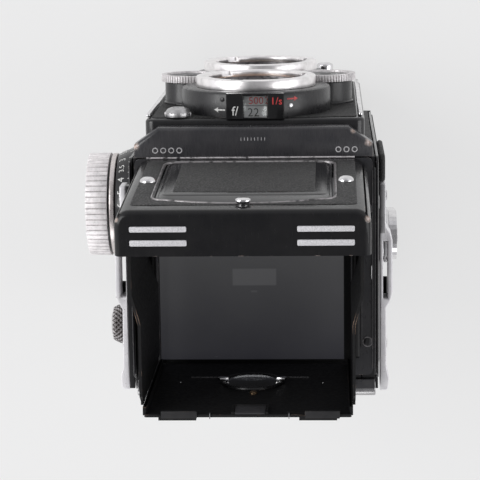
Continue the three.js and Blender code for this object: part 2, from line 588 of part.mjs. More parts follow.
const EYEPIECE_Z = 152.6;
function hoodBackWall() {
  const { half, y, hinge } = BACK_WALL;
  const sheet = pushed("y", roundedOutline([-half, half], [hinge, WALL_HIGH], 0.6), [y, y + WALL], 2);
  const barrel = rod("x", [y + WALL / 2, hinge], [-half, half], 0.4 + WALL / 4, { sides: 10 });
  const flanges = [-1, 1].map((hand) => {
    const x = [hand * half, hand * (half - 0.7)].sort((a, b) => a - b);
    return box(x, [25, y + 0.2], [131.2, 187.5]);
  });
  const tabs = [[14.7, 25.5], [-25.5, -14.7]].map((x) => box(x, [y + 0.2, y + 1.6], [183.5, WALL_HIGH + 0.4]));
  const eyeHole = rod("y", [0, EYEPIECE_Z], [20, 30], 7.6, { sides: 32 });
  return cut(join(sheet, barrel, ...flanges, ...tabs), eyeHole);
}
add("hood_back_wall", hoodBackWall(), mattBlack);

const eyepieceProfile = [[0, 25.3], [5, 25.5], [7.2, 26], [7.2, 26.6], [0, 26.6]];
add("eyepiece_lens", turned("y", [0, EYEPIECE_Z], eyepieceProfile, 32), glass);

// ---- the row's frame ----
// The middle of the whole box's base: from the crank to the focus knob, and from the lens rings to the hinge.
const [LEFT_END, RIGHT_END] = [FOCUS.outer, CRANK.x[0]];
const REAR_END = 39;
camera.position.set(-(LEFT_END + RIGHT_END) / 2, -(RING_FRONT.taking + REAR_END) / 2, 0);

const root = new THREE.Group();
root.add(camera);
export default root;
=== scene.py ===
"""Looks for the twin lens reflex camera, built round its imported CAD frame.

Lengths are in millimetres in the camera's own frame until a piece is made: x = 0 is midway between its sides,
y = 0 is under the middle of the screen, z = 0 is under the feet, and the lenses look along -Y.
"""

import math

import bmesh
import bpy
from mathutils import Matrix, Vector


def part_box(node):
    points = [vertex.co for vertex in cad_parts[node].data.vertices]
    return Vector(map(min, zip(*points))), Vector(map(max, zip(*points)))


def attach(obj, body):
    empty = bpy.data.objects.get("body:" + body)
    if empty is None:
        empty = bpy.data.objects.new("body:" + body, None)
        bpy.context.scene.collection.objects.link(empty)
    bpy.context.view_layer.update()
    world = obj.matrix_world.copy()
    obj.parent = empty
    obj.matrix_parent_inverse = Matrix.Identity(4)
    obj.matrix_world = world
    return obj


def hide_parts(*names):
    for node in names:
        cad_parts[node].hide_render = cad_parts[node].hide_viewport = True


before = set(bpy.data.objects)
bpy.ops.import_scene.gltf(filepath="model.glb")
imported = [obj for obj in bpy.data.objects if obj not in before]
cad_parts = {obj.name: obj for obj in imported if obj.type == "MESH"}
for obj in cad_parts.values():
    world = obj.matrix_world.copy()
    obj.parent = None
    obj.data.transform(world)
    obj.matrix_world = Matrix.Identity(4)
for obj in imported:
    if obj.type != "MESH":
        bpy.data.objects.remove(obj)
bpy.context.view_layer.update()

# ---- the camera's own frame ----
MM_PER_M = 1000
CLOSE = 1e-4
RING_FRONT = {"viewing": -60.9, "taking": -61.8}
ring_low, ring_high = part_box("taking_bayonet_ring")
ORIGIN = ((ring_low.x + ring_high.x) / 2, ring_low.y - RING_FRONT["taking"] / MM_PER_M, 0)
BODY = Matrix.Translation(ORIGIN) @ Matrix.Scale(1 / MM_PER_M, 4)
LID_LEAN = math.radians(3.9)
LID_FRONT = -37.9
DECK = 128
# The lid's frame: x across, y inwards from its outer face, z along it from its lower end.
LID = BODY @ Matrix.Translation((0, LID_FRONT, DECK)) @ Matrix.Rotation(-LID_LEAN, 4, "X")

TAKING_Z, VIEWING_Z = 55, 97
BOARD_FRONT = -49.5
WHEEL = Vector((22.3, -59.2, 76))
WHEEL_R = 10
THROUGH_BOARD, THROUGH_DRUM = (-55, -40), (-62, -45)
SOCKET = (24, 115.6)
HINGE_AXIS = (36.4, 124)
FOCUS = (-15.5, 76)
CRANK = (-4, 74)
SIDE = 39.3
WALL_HIGH = 189
EYEPIECE_Z = 152.6
HANDS = (1, "left"), (-1, "right")
EVEN = (1, 1, 1)


# ---- node materials ----
class Nodes:
    """A small wrapper that keeps material code readable."""

    def __init__(self, name):
        self.material = bpy.data.materials.new(name)
        self.material.use_nodes = True
        self.tree = self.material.node_tree
        self.bsdf = self.tree.nodes["Principled BSDF"]
        self.coords = self.add("TexCoord").outputs["Object"]

    def add(self, kind, **values):
        node = self.tree.nodes.new("ShaderNode" + kind)
        for key, value in values.items():
            if hasattr(node, key):
                setattr(node, key, value)
            else:
                self.set(node, key.replace("_", " "), value)
        return node

    def set(self, node, socket, value):
        target = node.inputs[socket]
        if isinstance(value, bpy.types.NodeSocket):
            self.tree.links.new(value, target)
        else:
            target.default_value = value

    def surface(self, socket, value):
        """Gives one of the surface's own inputs a value or a link."""
        self.set(self.bsdf, socket, value)

    def texture(self, kind, per_mm, stretch, **values):
        """A texture with per_mm features in each millimetre."""
        scaled = self.add("Mapping", vector_type="POINT")
        self.set(scaled, "Vector", self.coords)
        self.set(scaled, "Scale", [MM_PER_M * per_mm * s for s in stretch])
        node = self.add(kind, Scale=1.0, **values)
        self.set(node, "Vector", scaled.outputs["Vector"])
        return node

    def noise(self, per_mm, detail=3.0, stretch=EVEN, roughness=0.5):
        return self.texture("TexNoise", per_mm, stretch, Detail=detail, Roughness=roughness).outputs["Fac"]

    def cells(self, per_mm):
        return self.texture("TexVoronoi", per_mm, EVEN).outputs["Distance"]

    def math(self, operation, a, b=0.0):
        node = self.add("Math", operation=operation)
        self.set(node, 0, a)
        self.set(node, 1, b)
        return node.outputs[0]

    def ramp(self, value, low, high, out_low=0.0, out_high=1.0):
        node = self.add("MapRange", clamp=True, From_Min=low, From_Max=high, To_Min=out_low, To_Max=out_high)
        self.set(node, "Value", value)
        return node.outputs["Result"]

    def mix(self, factor, a, b):
        node = self.add("Mix", data_type="RGBA")
        self.set(node, 0, factor)
        for socket, colour in ((6, a), (7, b)):
            self.set(node, socket, colour if isinstance(colour, bpy.types.NodeSocket) else (*colour, 1))
        return node.outputs[2]

    def edges(self, width_mm):
        """Bright where the surface turns within width_mm: outside edges and corners."""
        soft = self.add("Bevel", samples=6, Radius=width_mm / MM_PER_M)
        sharp = self.add("NewGeometry")
        dot = self.add("VectorMath", operation="DOT_PRODUCT")
        self.set(dot, 0, soft.outputs["Normal"])
        self.set(dot, 1, sharp.outputs["Normal"])
        return self.math("SUBTRACT", 1.0, dot.outputs["Value"])

    def reach(self, point):
        """Distance in metres from a point of the camera's frame."""
        node = self.add("VectorMath", operation="DISTANCE")
        self.set(node, 0, self.coords)
        self.set(node, 1, BODY @ Vector(point))
        return node.outputs["Value"]

    def crevices(self, reach_mm):
        """1 in the open and 0 deep in a groove."""
        node = self.add("AmbientOcclusion", samples=12, Distance=reach_mm / MM_PER_M, only_local=True)
        return node.outputs["AO"]

    def worn_edges(self, width_mm, turn, noise, kept):
        """Outside edges that turn this much, left bare in patches of a noise (per_mm, detail)."""
        return self.math(
            "MULTIPLY", self.ramp(self.edges(width_mm), *turn), self.ramp(self.noise(*noise), *kept)
        )

    def near(self, spot, per_mm):
        """1 at a spot (x, y, z, radius) and 0 away from it, with a ragged border."""
        *point, radius = spot
        distance = self.reach(point)
        ragged = self.math("MULTIPLY", self.noise(per_mm, 4.0), 0.9 * radius / MM_PER_M)
        return self.ramp(
            self.math("ADD", distance, ragged), 0.4 * radius / MM_PER_M, 1.5 * radius / MM_PER_M, 1, 0
        )

    def rough_between(self, noise, low, high):
        """Roughness from low to high over a noise (per_mm, detail)."""
        self.surface("Roughness", self.ramp(self.noise(*noise), 0.3, 0.7, low, high))

    def relief(self, height, strength, depth_mm):
        node = self.add("Bump", Strength=strength, Distance=depth_mm / MM_PER_M)
        self.set(node, "Height", height)
        self.surface("Normal", node.outputs["Normal"])


def enamel(name, tone=0.009, rough=0.15, wear=0.5, wear_width=0.5, spots=(), sheen=0.5):
    """Black gloss paint, rubbed through to pinkish metal at its edges and at spots (x, y, z, radius)."""
    n = Nodes(name)
    patches = n.noise(0.12, 4.0)
    paint = n.mix(
        n.ramp(patches, 0.35, 0.7), (tone, tone, tone * 1.12), (tone * 1.6, tone * 1.55, tone * 1.65)
    )
    dust = n.ramp(n.noise(2.6, 2.0), 0.76, 0.82, 0, 0.4)
    paint = n.mix(dust, paint, (0.08, 0.08, 0.08))
    rubbed = n.worn_edges(wear_width, (0.07, 0.3), (0.35, 5.0), (0.68 - wear * 0.26, 0.74))
    for spot in spots:
        rubbed = n.math("MAXIMUM", rubbed, n.near(spot, 1.4))
    dull_metal, bright_metal = (0.34, 0.24, 0.19), (0.8, 0.7, 0.66)
    metal = n.mix(n.ramp(n.noise(1.5), 0.35, 0.65), dull_metal, bright_metal)
    n.surface("Base Color", n.mix(rubbed, paint, metal))
    n.surface("Metallic", n.math("MULTIPLY", rubbed, 0.6))
    n.surface("Specular IOR Level", sheen)
    marks = n.ramp(n.noise(1.1, 6.0, (1, 0.25, 1)), 0.3, 0.75, rough * 0.8, rough * 1.5)
    n.surface("Roughness", n.math("ADD", marks, n.math("MULTIPLY", rubbed, 0.12)))
    n.relief(n.noise(0.45, 2.0), 0.12, 0.05)
    return n.material


def leather(name, tone=0.02, cell=1.7, depth=0.16):
    """Fine pebble-grained covering: round pebbles of about half a millimetre with creases between them."""
    n = Nodes(name)
    pebbles = n.ramp(n.cells(cell), 0.05, 0.75, 1, 0)
    waves = n.noise(0.5, 4.0)
    height = n.math("ADD", pebbles, n.math("MULTIPLY", n.noise(5.0, 2.0), 0.4))
    shade = n.mix(
        n.ramp(waves, 0.3, 0.7), (tone * 0.75, tone * 0.75, tone * 0.78),
        (tone * 1.35, tone * 1.33, tone * 1.32)
    )
    shade = n.mix(n.ramp(pebbles, 0.35, 0.95), n.mix(0.55, shade, (0.004, 0.004, 0.004)), shade)
    rubbed = n.worn_edges(0.5, (0.03, 0.25), (0.6, 3.0), (0.45, 0.7))
    n.surface("Base Color", n.mix(n.math("MULTIPLY", rubbed, 0.5), shade, (0.12, 0.11, 0.105)))
    n.surface("Roughness", n.ramp(pebbles, 0.2, 1.0, 0.72, 0.46))
    n.relief(height, 0.7, depth)
    return n.material


def metal(name, tone, rough, groove_shade_and_dirt=0.5, reach=0.9, brushed=None, tint=(1.0, 0.99, 1.0), grain=1.0):
    """Plated metal: a soft variation of tone and gloss, painted shade and brown dirt down in its grooves,
    fine scratches.
    """
    n = Nodes(name)
    bright = tuple(tone * t for t in tint)
    dull = tuple(tone * 0.78 * t for t in tint)
    plate = n.mix(n.ramp(n.noise(0.4, 4.0), 0.35, 0.7), bright, dull)
    spots = n.ramp(n.noise(2.2, 3.0), 0.68, 0.76, 0, 0.35 * grain)
    plate = n.mix(spots, plate, (0.32, 0.26, 0.22))
    # Painted shade and brown dirt: an occlusion mask darkens the colour deep in grooves.
    hollow = n.ramp(n.crevices(reach), 0.25, 0.8, groove_shade_and_dirt, 0)
    n.surface("Base Color", n.mix(hollow, plate, (0.05, 0.035, 0.028)))
    n.surface("Metallic", n.ramp(hollow, 0, 1, 1, 0.45))
    gloss = n.ramp(n.noise(1.6, 5.0), 0.3, 0.7, rough * (1 - 0.2 * grain), rough * (1 + 0.3 * grain))
    n.surface("Roughness", n.math("ADD", gloss, n.math("MULTIPLY", hollow, 0.4)))
    n.relief(n.noise(3.0, 3.0, brushed or EVEN), 0.04 * grain, 0.03 if brushed else 0.02)
    return n.material


def matt(name, tone=0.004, rough=0.6, wear=0.4, spots=()):
    """Stove-black sheet metal, brassed where it rubs and at the listed spots."""
    n = Nodes(name)
    paint = n.mix(
        n.ramp(n.noise(0.2, 4.0), 0.3, 0.7), (tone, tone, tone * 1.1), (tone * 1.5, tone * 1.45, tone * 1.5)
    )
    rubbed = n.worn_edges(0.3, (0.08, 0.35), (0.25, 4.0), (0.7 - wear * 0.22, 0.76))
    for spot in spots:
        near = n.near(spot, 0.9)
        rubbed = n.math("MAXIMUM", rubbed, n.math("MULTIPLY", near, n.ramp(n.edges(0.4), 0.03, 0.2)))
    dull_brass, bright_brass = (0.3, 0.17, 0.11), (0.62, 0.45, 0.34)
    n.surface("Base Color", n.mix(rubbed, paint, n.mix(n.noise(1.2), dull_brass, bright_brass)))
    n.surface("Metallic", n.math("MULTIPLY", rubbed, 0.6))
    n.surface("Specular IOR Level", 0.25)
    n.surface("Roughness", n.ramp(n.noise(1.0, 5.0), 0.3, 0.75, rough * 0.85, rough * 1.15))
    n.relief(n.noise(6.0, 2.0), 0.25, 0.03)
    return n.material


def worn_line(name, bright=0.3):
    """Rims rubbed bare by the fingers, with black paint left in patches."""
    n = Nodes(name)
    left = n.ramp(n.noise(0.5, 5.0), 0.5, 0.66)
    bare = n.mix(
        n.noise(1.6), (bright, bright * 0.94, bright * 0.93), (bright * 1.5, bright * 1.45, bright * 1.5)
    )
    n.surface("Base Color", n.mix(left, bare, (0.03, 0.028, 0.03)))
    n.surface("Metallic", n.ramp(left, 0, 1, 0.7, 0))
    n.rough_between((1.4,), 0.28, 0.42)
    n.relief(n.noise(3.0), 0.1, 0.03)
    return n.material


def white_metal(name, tone=0.78):
    """Thick satin plating with the soft pale look of frosted chrome, and a few brown specks."""
    n = Nodes(name)
    body = n.mix(
        n.ramp(n.noise(0.25, 4.0), 0.3, 0.7), (tone, tone * 0.985, tone),
        (tone * 0.86, tone * 0.845, tone * 0.87)
    )
    specks = n.ramp(n.noise(1.9, 3.0), 0.66, 0.72, 0, 0.8)
    n.surface("Base Color", n.mix(specks, body, (0.3, 0.24, 0.23)))
    n.surface("Metallic", n.ramp(specks, 0, 1, 0.35, 0.1))
    n.rough_between((1.2, 4.0), 0.38, 0.5)
    n.relief(n.noise(2.0, 3.0, (1, 0.2, 1)), 0.12, 0.04)
    return n.material


PAINT_ROUGH = 0.45


def paint(name, colour):
    """Filled figures and marks: slightly uneven paint with pinholes."""
    n = Nodes(name)
    faded = tuple(c * 0.62 for c in colour)
    n.surface("Base Color", n.mix(n.ramp(n.noise(1.6, 4.0), 0.4, 0.75), colour, faded))
    n.rough_between((4.0,), PAINT_ROUGH * 0.85, PAINT_ROUGH * 1.2)
    n.relief(n.noise(5.0), 0.2, 0.02)
    return n.material


def silver_paint(name):
    """Cast rib faces, ground bare and pitted."""
    n = Nodes(name)
    pits = n.noise(2.4, 5.0, EVEN, 0.65)
    n.surface("Base Color", n.mix(n.ramp(pits, 0.34, 0.6), (0.43, 0.43, 0.44), (0.65, 0.64, 0.66)))
    n.surface("Metallic", n.ramp(pits, 0.4, 0.7, 0.15, 0.35))
    n.surface("Roughness", n.ramp(pits, 0.3, 0.7, 0.65, 0.5))
    n.relief(pits, 0.3, 0.05)
    return n.material


def screen_glass(name):
    """The ground screen, lit softly from below by a painted glow that is brighter towards the front, with a
    painted reflection as its middle patch and a few hairs.
    """
    n = Nodes(name)
    split = n.add("SeparateXYZ")
    n.set(split, "Vector", n.coords)
    front, rear = BODY @ Vector((0, -8, 0)), BODY @ Vector((0, 27, 0))
    # The painted glow fades from the front of the screen to its rear.
    along = n.ramp(split.outputs["Y"], front.y, rear.y, 1, 0)
    clouds = n.noise(0.05, 3.0)
    glow = n.math("ADD", n.math("MULTIPLY", along, 0.8), n.math("MULTIPLY", clouds, 0.3))
    tone = n.mix(n.ramp(glow, 0.05, 1.05), (0.018, 0.018, 0.023), (0.064, 0.064, 0.066))

    def patch(x, y, soft):
        """1 inside a rectangle of the screen, fading out over its soft border."""
        low, high = BODY @ Vector((x[0], y[0], 0)), BODY @ Vector((x[1], y[1], 0))
        sides = []
        for axis, start, end in (("X", low.x, high.x), ("Y", low.y, high.y)):
            sides.append(n.ramp(split.outputs[axis], start, start + soft, 0, 1))
            sides.append(n.ramp(split.outputs[axis], end - soft, end, 1, 0))
        mask = sides[0]
        for side in sides[1:]:
            mask = n.math("MULTIPLY", mask, side)
        return mask

    # The middle patch and the small mark below it are painted reflections.
    middle = n.math(
        "MAXIMUM", patch((-6.9, 7.2), (-2.9, 2.8), 0.0004),
        n.math("MULTIPLY", patch((-0.8, 1.4), (4.1, 5.0), 0.0003), 0.7)
    )
    hairs = n.ramp(n.noise(0.35, 2.0, (1, 9, 1)), 0.76, 0.775, 0, 0.3)
    tone = n.mix(n.math("MAXIMUM", n.math("MULTIPLY", middle, 0.5), hairs), tone, (0.098, 0.098, 0.102))
    n.surface("Base Color", n.mix(0.5, tone, (0.03, 0.03, 0.032)))
    # The emission paints the screen's glow.
    n.surface("Emission Color", tone)
    n.surface("Emission Strength", 0.8)
    n.rough_between((3.0, 4.0), 0.5, 0.62)
    n.surface("Specular IOR Level", 0.3)
    n.relief(n.noise(8.0, 2.0), 0.15, 0.02)
    return n.material


def clear_glass(name, tint=EVEN, coat=EVEN, ior=1.5, coat_weight=0.6):
    """Polished glass with a coated front and a trace of wiping."""
    n = Nodes(name)
    n.surface("Base Color", n.mix(n.ramp(n.noise(0.08, 2.0), 0.3, 0.7), tint, tuple(0.94 * t for t in tint)))
    n.surface("Roughness", n.ramp(n.noise(0.5, 5.0), 0.55, 0.8, 0.01, 0.045))
    n.surface("Transmission Weight", 1)
    n.surface("IOR", ior)
    n.surface("Coat Weight", coat_weight)
    n.surface("Coat Tint", (*coat, 1))
    return n.material


def silvered(name):
    """A front-silvered mirror, dulled in patches."""
    n = Nodes(name)
    n.surface("Base Color", n.mix(n.ramp(n.noise(0.3, 4.0), 0.6, 0.8), (0.86, 0.87, 0.88), (0.6, 0.61, 0.6)))
    n.surface("Metallic", n.ramp(n.noise(0.3, 4.0), 0.6, 0.9, 1, 0.85))
    n.surface("Roughness", n.ramp(n.noise(1.0, 4.0), 0.4, 0.8, 0.03, 0.1))
    return n.material


LID_CORNERS = [LID @ Vector(point) for point in ((35.6, 2.6, 67.9), (-34.5, 2.6, 67.9))]
LID_SPOTS = [(*(BODY.inverted() @ corner), radius) for corner, radius in zip(LID_CORNERS, (0.9, 1.3))]
ENAMEL = enamel("black_enamel")
LID_PAINT = enamel("lid_enamel", 0.007, 0.2, 0.3, 0.7, LID_SPOTS, 0.3)
FLAP_PAINT = enamel("flap_enamel", 0.01, 0.16, 0.2, 0.4, (), 0.4)
WORN = worn_line("worn_rim", 0.24)
HINGE_WORN = worn_line("worn_hinge", 0.55)
BOARD_PAINT = enamel("board_enamel", 0.009, 0.2, 0.45, 0.6)
HOUSING_PAINT = enamel("housing_enamel", 0.012, 0.28, 0.25, 0.4)
LEATHER = leather("fine_grain_leather")
LID_LEATHER = leather("lid_leather", 0.051, 1.5, 0.3)
CHROME = metal("chrome", 0.8, 0.13)
RING_CHROME = metal("turned_chrome", 0.99, 0.29, 0.35, 1.0, (0.3, 1.5, 0.3), (1, 0.975, 0.975), 0.2)
SATIN = metal("satin_chrome", 0.76, 0.3, 0.6, 0.9)
WARM = (1, 0.97, 0.975)
KNURLED = metal("knurled_chrome", 0.99, 0.62, 0.55, 0.4, tint=WARM)
MILLED = metal("milled_chrome", 0.78, 0.62, 0.55, 0.4, tint=WARM)
DIAMOND = metal("diamond_knurl", 0.66, 0.36, 1.0, 2.2, tint=WARM)
STRIP = white_metal("frosted_chrome", 0.8)
STEEL = metal("brushed_steel", 0.5, 0.32, 0.4, 1.0, (0.08, 1, 1))
HINGE_STEEL = metal("hinge_steel", 0.45, 0.28, 0.7, 1.2)
BRASS = metal("rivet_brass", 0.5, 0.35, 0.5, 0.6, tint=(1, 0.68, 0.42))
WALL_SPOTS = [(30.4, -1.5, WALL_HIGH, 2.6), (-30.5, 0.5, WALL_HIGH, 3.2), (30.2, 24, WALL_HIGH, 2.0)]
HOOD_BLACK = matt("hood_black", 0.0048, 0.55, 0.4, WALL_SPOTS)
CRACKLE = matt("casting_black", 0.012, 0.5, 0.5)
RIBBED_BLACK = matt("lens_barrel_black", 0.01, 0.42, 0.3)
BROWNED = matt("browned_tab", 0.016, 0.5, 1.0)
AMBER_BLACK = worn_line("amber_barrel", 0.16)
WHITE = paint("white_fill", (0.72, 0.72, 0.7))
RED = paint("red_fill", (0.62, 0.05, 0.05))
BLACK_FIGURES = paint("black_fill", (0.012, 0.012, 0.013))
SCALE_SILVER = metal("scale_silver", 0.62, 0.45, 0.3, 0.8)
RIB_SILVER = silver_paint("rib_silver")
SCREEN = screen_glass("screen_glass")
LENS_GLASS = clear_glass("lens_glass", (1.0, 0.93, 0.86), (1.0, 0.72, 0.5), 1.36, 0.25)
EYE_GLASS = clear_glass("eyepiece_glass", (0.5, 0.51, 0.52), (0.9, 0.9, 0.9), 1.5)
PLAIN_GLASS = clear_glass("window_glass", (0.96, 0.98, 0.97))
MAGNIFIER_GLASS = clear_glass("magnifier_glass", (0.95, 0.98, 0.98), (0.9, 0.95, 1.0))
MIRROR = silvered("front_silvered")

# The bodies whose pieces are placed in the lid's frame.
LID_BODIES = ("lid", "flap", "magnifier")


# ---- shapes ----
SOFTENED_ANGLE, SHARP_ANGLE = 32, 34
FIGURE_DEPTH, PROUD = 0.06, 0.03


def axis_turn(axis):
    """Maps a shape's own (u, v, along) to (x, y, z)."""
    x, y, z = (1, 0, 0), (0, 1, 0), (0, 0, 1)
    columns = {"x": (y, z, x), "y": (x, z, y), "z": (x, y, z)}
    return Matrix(columns[axis]).transposed().to_4x4()


def quarter(centre, r, start, steps):
    """A quarter of a circle, from an angle in degrees."""
    angles = [math.radians(start + 90 * i / steps) for i in range(steps + 1)]
    return [(centre[0] + r * math.cos(a), centre[1] + r * math.sin(a)) for a in angles]


def rounded(u, v, r, steps=8):
    """A rectangle's outline with rounded corners."""
    low_u, high_u, low_v, high_v = u[0] + r, u[1] - r, v[0] + r, v[1] - r
    points = []
    for *centre, start in (
        (high_u, low_v, -90), (high_u, high_v, 0), (low_u, high_v, 90), (low_u, low_v, 180)
    ):
        points += quarter(centre, r, start, steps)
    return points


def shifted(bm, matrix):
    bmesh.ops.transform(bm, matrix=matrix, verts=bm.verts)
    return bm


def bridge(bm, a, b):
    """Faces between two closed rows of as many vertices."""
    for i in range(len(a)):
        j = (i + 1) % len(a)
        bm.faces.new((a[i], a[j], b[j], b[i]))


def outward(bm):
    """Turns a closed shape's faces outwards."""
    bmesh.ops.recalc_face_normals(bm, faces=bm.faces)
    return bm


def round_edges(bm, edges, offset, segments):
    bmesh.ops.bevel(bm, geom=edges, offset=offset, segments=segments, profile=0.5, affect="EDGES")


def prism(axis, outline, span):
    """An outline in (u, v) drawn out along an axis."""
    bm = bmesh.new()
    low = [bm.verts.new((u, v, span[0])) for u, v in outline]
    high = [bm.verts.new((u, v, span[1])) for u, v in outline]
    bm.faces.new(low[::-1])
    bm.faces.new(high)
    bridge(bm, low, high)
    return outward(shifted(bm, axis_turn(axis)))


def block(x, y, z):
    return prism("z", [(x[0], y[0]), (x[1], y[0]), (x[1], y[1]), (x[0], y[1])], z)


def turned(axis, centre, profile, sides=96):
    """A profile of (radius, distance) points turned about an axis. A ring's profile closes on itself."""
    bm = bmesh.new()
    ring = profile[0] == profile[-1]
    points = profile[:-1] if ring else profile
    rows = []
    for r, along in points:
        if r < 1e-6:
            rows.append([bm.verts.new((0, 0, along))])
        else:
            angles = [2 * math.pi * i / sides for i in range(sides)]
            rows.append([bm.verts.new((r * math.cos(a), r * math.sin(a), along)) for a in angles])
    pairs = list(zip(rows, rows[1:])) + ([(rows[-1], rows[0])] if ring else [])
    for a, b in pairs:
        for i in range(sides):
            j = (i + 1) % sides
            corners = [a[i % len(a)], a[j % len(a)], b[j % len(b)], b[i % len(b)]]
            unique = list(dict.fromkeys(corners))
            if len(unique) > 2:
                bm.faces.new(unique)
    offset = {"x": (0, *centre), "y": (centre[0], 0, centre[1]), "z": (*centre, 0)}[axis]
    return outward(shifted(bm, Matrix.Translation(offset) @ axis_turn(axis)))


def rod(axis, centre, r, span, sides):
    """A plain cylinder."""
    return turned(axis, centre, [(0, span[0]), (r, span[0]), (r, span[1]), (0, span[1])], sides)


def merge(*parts):
    """Several separate shapes as one."""
    whole = bmesh.new()
    for part in parts:
        mesh = bpy.data.meshes.new("part")
        part.to_mesh(mesh)
        part.free()
        whole.from_mesh(mesh)
        bpy.data.meshes.remove(mesh)
    return whole


def toothed(centre, r, depth, count, land=0.62, slope=0.1):
    """The outline of a wheel with straight flutes. land is the share of each pitch that stays full height."""
    points = []
    for i in range(count):
        for share, radius in ((0, r), (land, r), (land + slope, r - depth), (1 - slope, r - depth)):
            a = 2 * math.pi * (i + share) / count
            points.append((centre[0] + radius * math.cos(a), centre[1] + radius * math.sin(a)))
    return points


def to_object(name, bm, place):
    mesh = bpy.data.meshes.new(name)
    shifted(bm, place).to_mesh(mesh)
    bm.free()
    obj = bpy.data.objects.new(name, mesh)
    bpy.context.collection.objects.link(obj)
    return obj


def apply_modifiers(obj):
    depsgraph = bpy.context.evaluated_depsgraph_get()
    made = bpy.data.meshes.new_from_object(obj.evaluated_get(depsgraph))
    obj.modifiers.clear()
    obj.data = made


def carve(obj, cutters, place):
    for cutter in cutters:
        tool = to_object("cutter", cutter, place)
        step = obj.modifiers.new("cut", "BOOLEAN")
        step.operation, step.solver, step.object = "DIFFERENCE", "EXACT", tool
        bpy.context.view_layer.update()
        apply_modifiers(obj)
        bpy.data.objects.remove(tool)


def soften(obj, width_mm, segments=2):
    step = obj.modifiers.new("soft_edges", "BEVEL")
    step.width, step.segments = width_mm / MM_PER_M, segments
    step.limit_method, step.angle_limit = "ANGLE", math.radians(SOFTENED_ANGLE)
    step.use_clamp_overlap = True


def smooth(obj, angle):
    obj.data.polygons.foreach_set("use_smooth", [True] * len(obj.data.polygons))
    obj.data.set_sharp_from_angle(angle=math.radians(angle))


def piece(
    name, bm, look, body, stands_for=(), cuts=(), edge=0.0, segments=2, angle=SHARP_ANGLE
):
    """Makes one piece in place and rides it on its body."""
    place = LID if body in LID_BODIES else BODY
    obj = to_object(name, bm, place)
    carve(obj, cuts, place)
    if edge:
        soften(obj, edge, segments)
        bpy.context.view_layer.update()
        apply_modifiers(obj)
    smooth(obj, angle)
    obj.data.materials.clear()
    obj.data.materials.append(look)
    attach(obj, body)
    if stands_for:
        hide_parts(*([stands_for] if isinstance(stands_for, str) else stands_for))


def dress(node, look, edge=0.0, segments=2):
    """Gives a CAD node its finish, and softened edges."""
    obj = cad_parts[node]
    obj.data.materials.clear()
    obj.data.materials.append(look)
    if edge:
        soften(obj, edge, segments)


def lettering(items):
    """Figures as one shape. Each item is (text, height, matrix from the text's plane to its place)."""
    whole = []
    for text, height, matrix in items:
        curve = bpy.data.curves.new("figures", "FONT")
        curve.body, curve.size, curve.extrude = text, height * 1.4, FIGURE_DEPTH / 2
        curve.align_x, curve.align_y = "CENTER", "CENTER"
        curve.resolution_u = 3
        obj = bpy.data.objects.new("figures", curve)
        bpy.context.collection.objects.link(obj)
        bpy.context.view_layer.update()
        mesh = bpy.data.meshes.new_from_object(obj.evaluated_get(bpy.context.evaluated_depsgraph_get()))
        bm = bmesh.new()
        bm.from_mesh(mesh)
        bmesh.ops.remove_doubles(bm, verts=bm.verts, dist=CLOSE)
        whole.append(shifted(bm, matrix))
        bpy.data.objects.remove(obj)
        bpy.data.meshes.remove(mesh)
        bpy.data.curves.remove(curve)
    return merge(*whole)


def facing(origin, right, up):
    """The matrix of a text plane whose reading direction is right and whose top is up."""
    right, up = Vector(right).normalized(), Vector(up).normalized()
    out = right.cross(up)
    return Matrix.Translation(origin) @ Matrix((right, up, out)).transposed().to_4x4()


def side_of(x):
    return "left" if x > 0 else "right"


def spoke(a):
    """The direction at an angle round a line along Y."""
    return Vector((math.cos(a), 0, math.sin(a)))


def knob_spoke(a):
    """The direction at an angle round a line along X."""
    return Vector((0, math.cos(a), math.sin(a)))


def screw(name, centre, axis, look, body, r, high):
    """A small cheese-head screw with a slot. centre is where its seat is; axis is "+x", "-z" and so on."""
    sign, along = (1 if axis[0] == "+" else -1), axis[1]
    index = "xyz".index(along)
    flat = [centre[i] for i in range(3) if i != index]
    base = centre[index]
    slot_half, slot_floor = 0.17, 0.55
    heights = sorted((base, base + sign * high * 0.7, base + sign * high), reverse=sign < 0)
    head = turned(
        along, flat,
        [(0, heights[0]), (r, heights[0]), (r, heights[1]), (r * 0.86, heights[2]), (0, heights[2])], 32
    )
    spans = [[c - r * 1.2, c + r * 1.2] for c in centre]
    thin = [i for i in range(3) if i != index][0]
    spans[thin] = [centre[thin] - slot_half, centre[thin] + slot_half]
    spans[index] = sorted((base + sign * high * slot_floor, base + sign * (high + 0.5)))
    piece(name, head, look, body, cuts=[block(*spans)], edge=0.05, segments=1)


# ---- body ----
dress("body_casting", CRACKLE, 0.25)
dress("casting_wall_right", CRACKLE, 0.25)
DECK_PAINT = enamel("deck_enamel", 0.02, 0.3, 0.35, 0.35)
dress("hood_base_frame", DECK_PAINT, 0.3, 3)
dress("ground_glass", SCREEN)
dress("mirror", MIRROR)
dress("pressure_plate", HOOD_BLACK, 0.2)

CORE_FRONT, CORE_REAR, SIDE_LOW, SIDE_HIGH = -38, 33, 5.5, 125.6
for hand, side in HANDS:
    skin = sorted((hand * 37.9, hand * (SIDE - 0.45)))
    piece(
        f"side_panel_{side}_plate",
        prism("x", rounded((CORE_FRONT, CORE_REAR), (SIDE_LOW, SIDE_HIGH), 2.5), skin), ENAMEL, "camera_body",
        f"side_panel_{side}", edge=0.3,
    )
    cover = sorted((hand * (SIDE - 0.6), hand * (SIDE + 0.05)))
    piece(
        f"side_panel_{side}_leather",
        prism("x", rounded((CORE_FRONT + 1, CORE_REAR - 1), (SIDE_LOW + 1, 108.8), 1.6), cover), LEATHER,
        "camera_body", edge=0.25,
    )

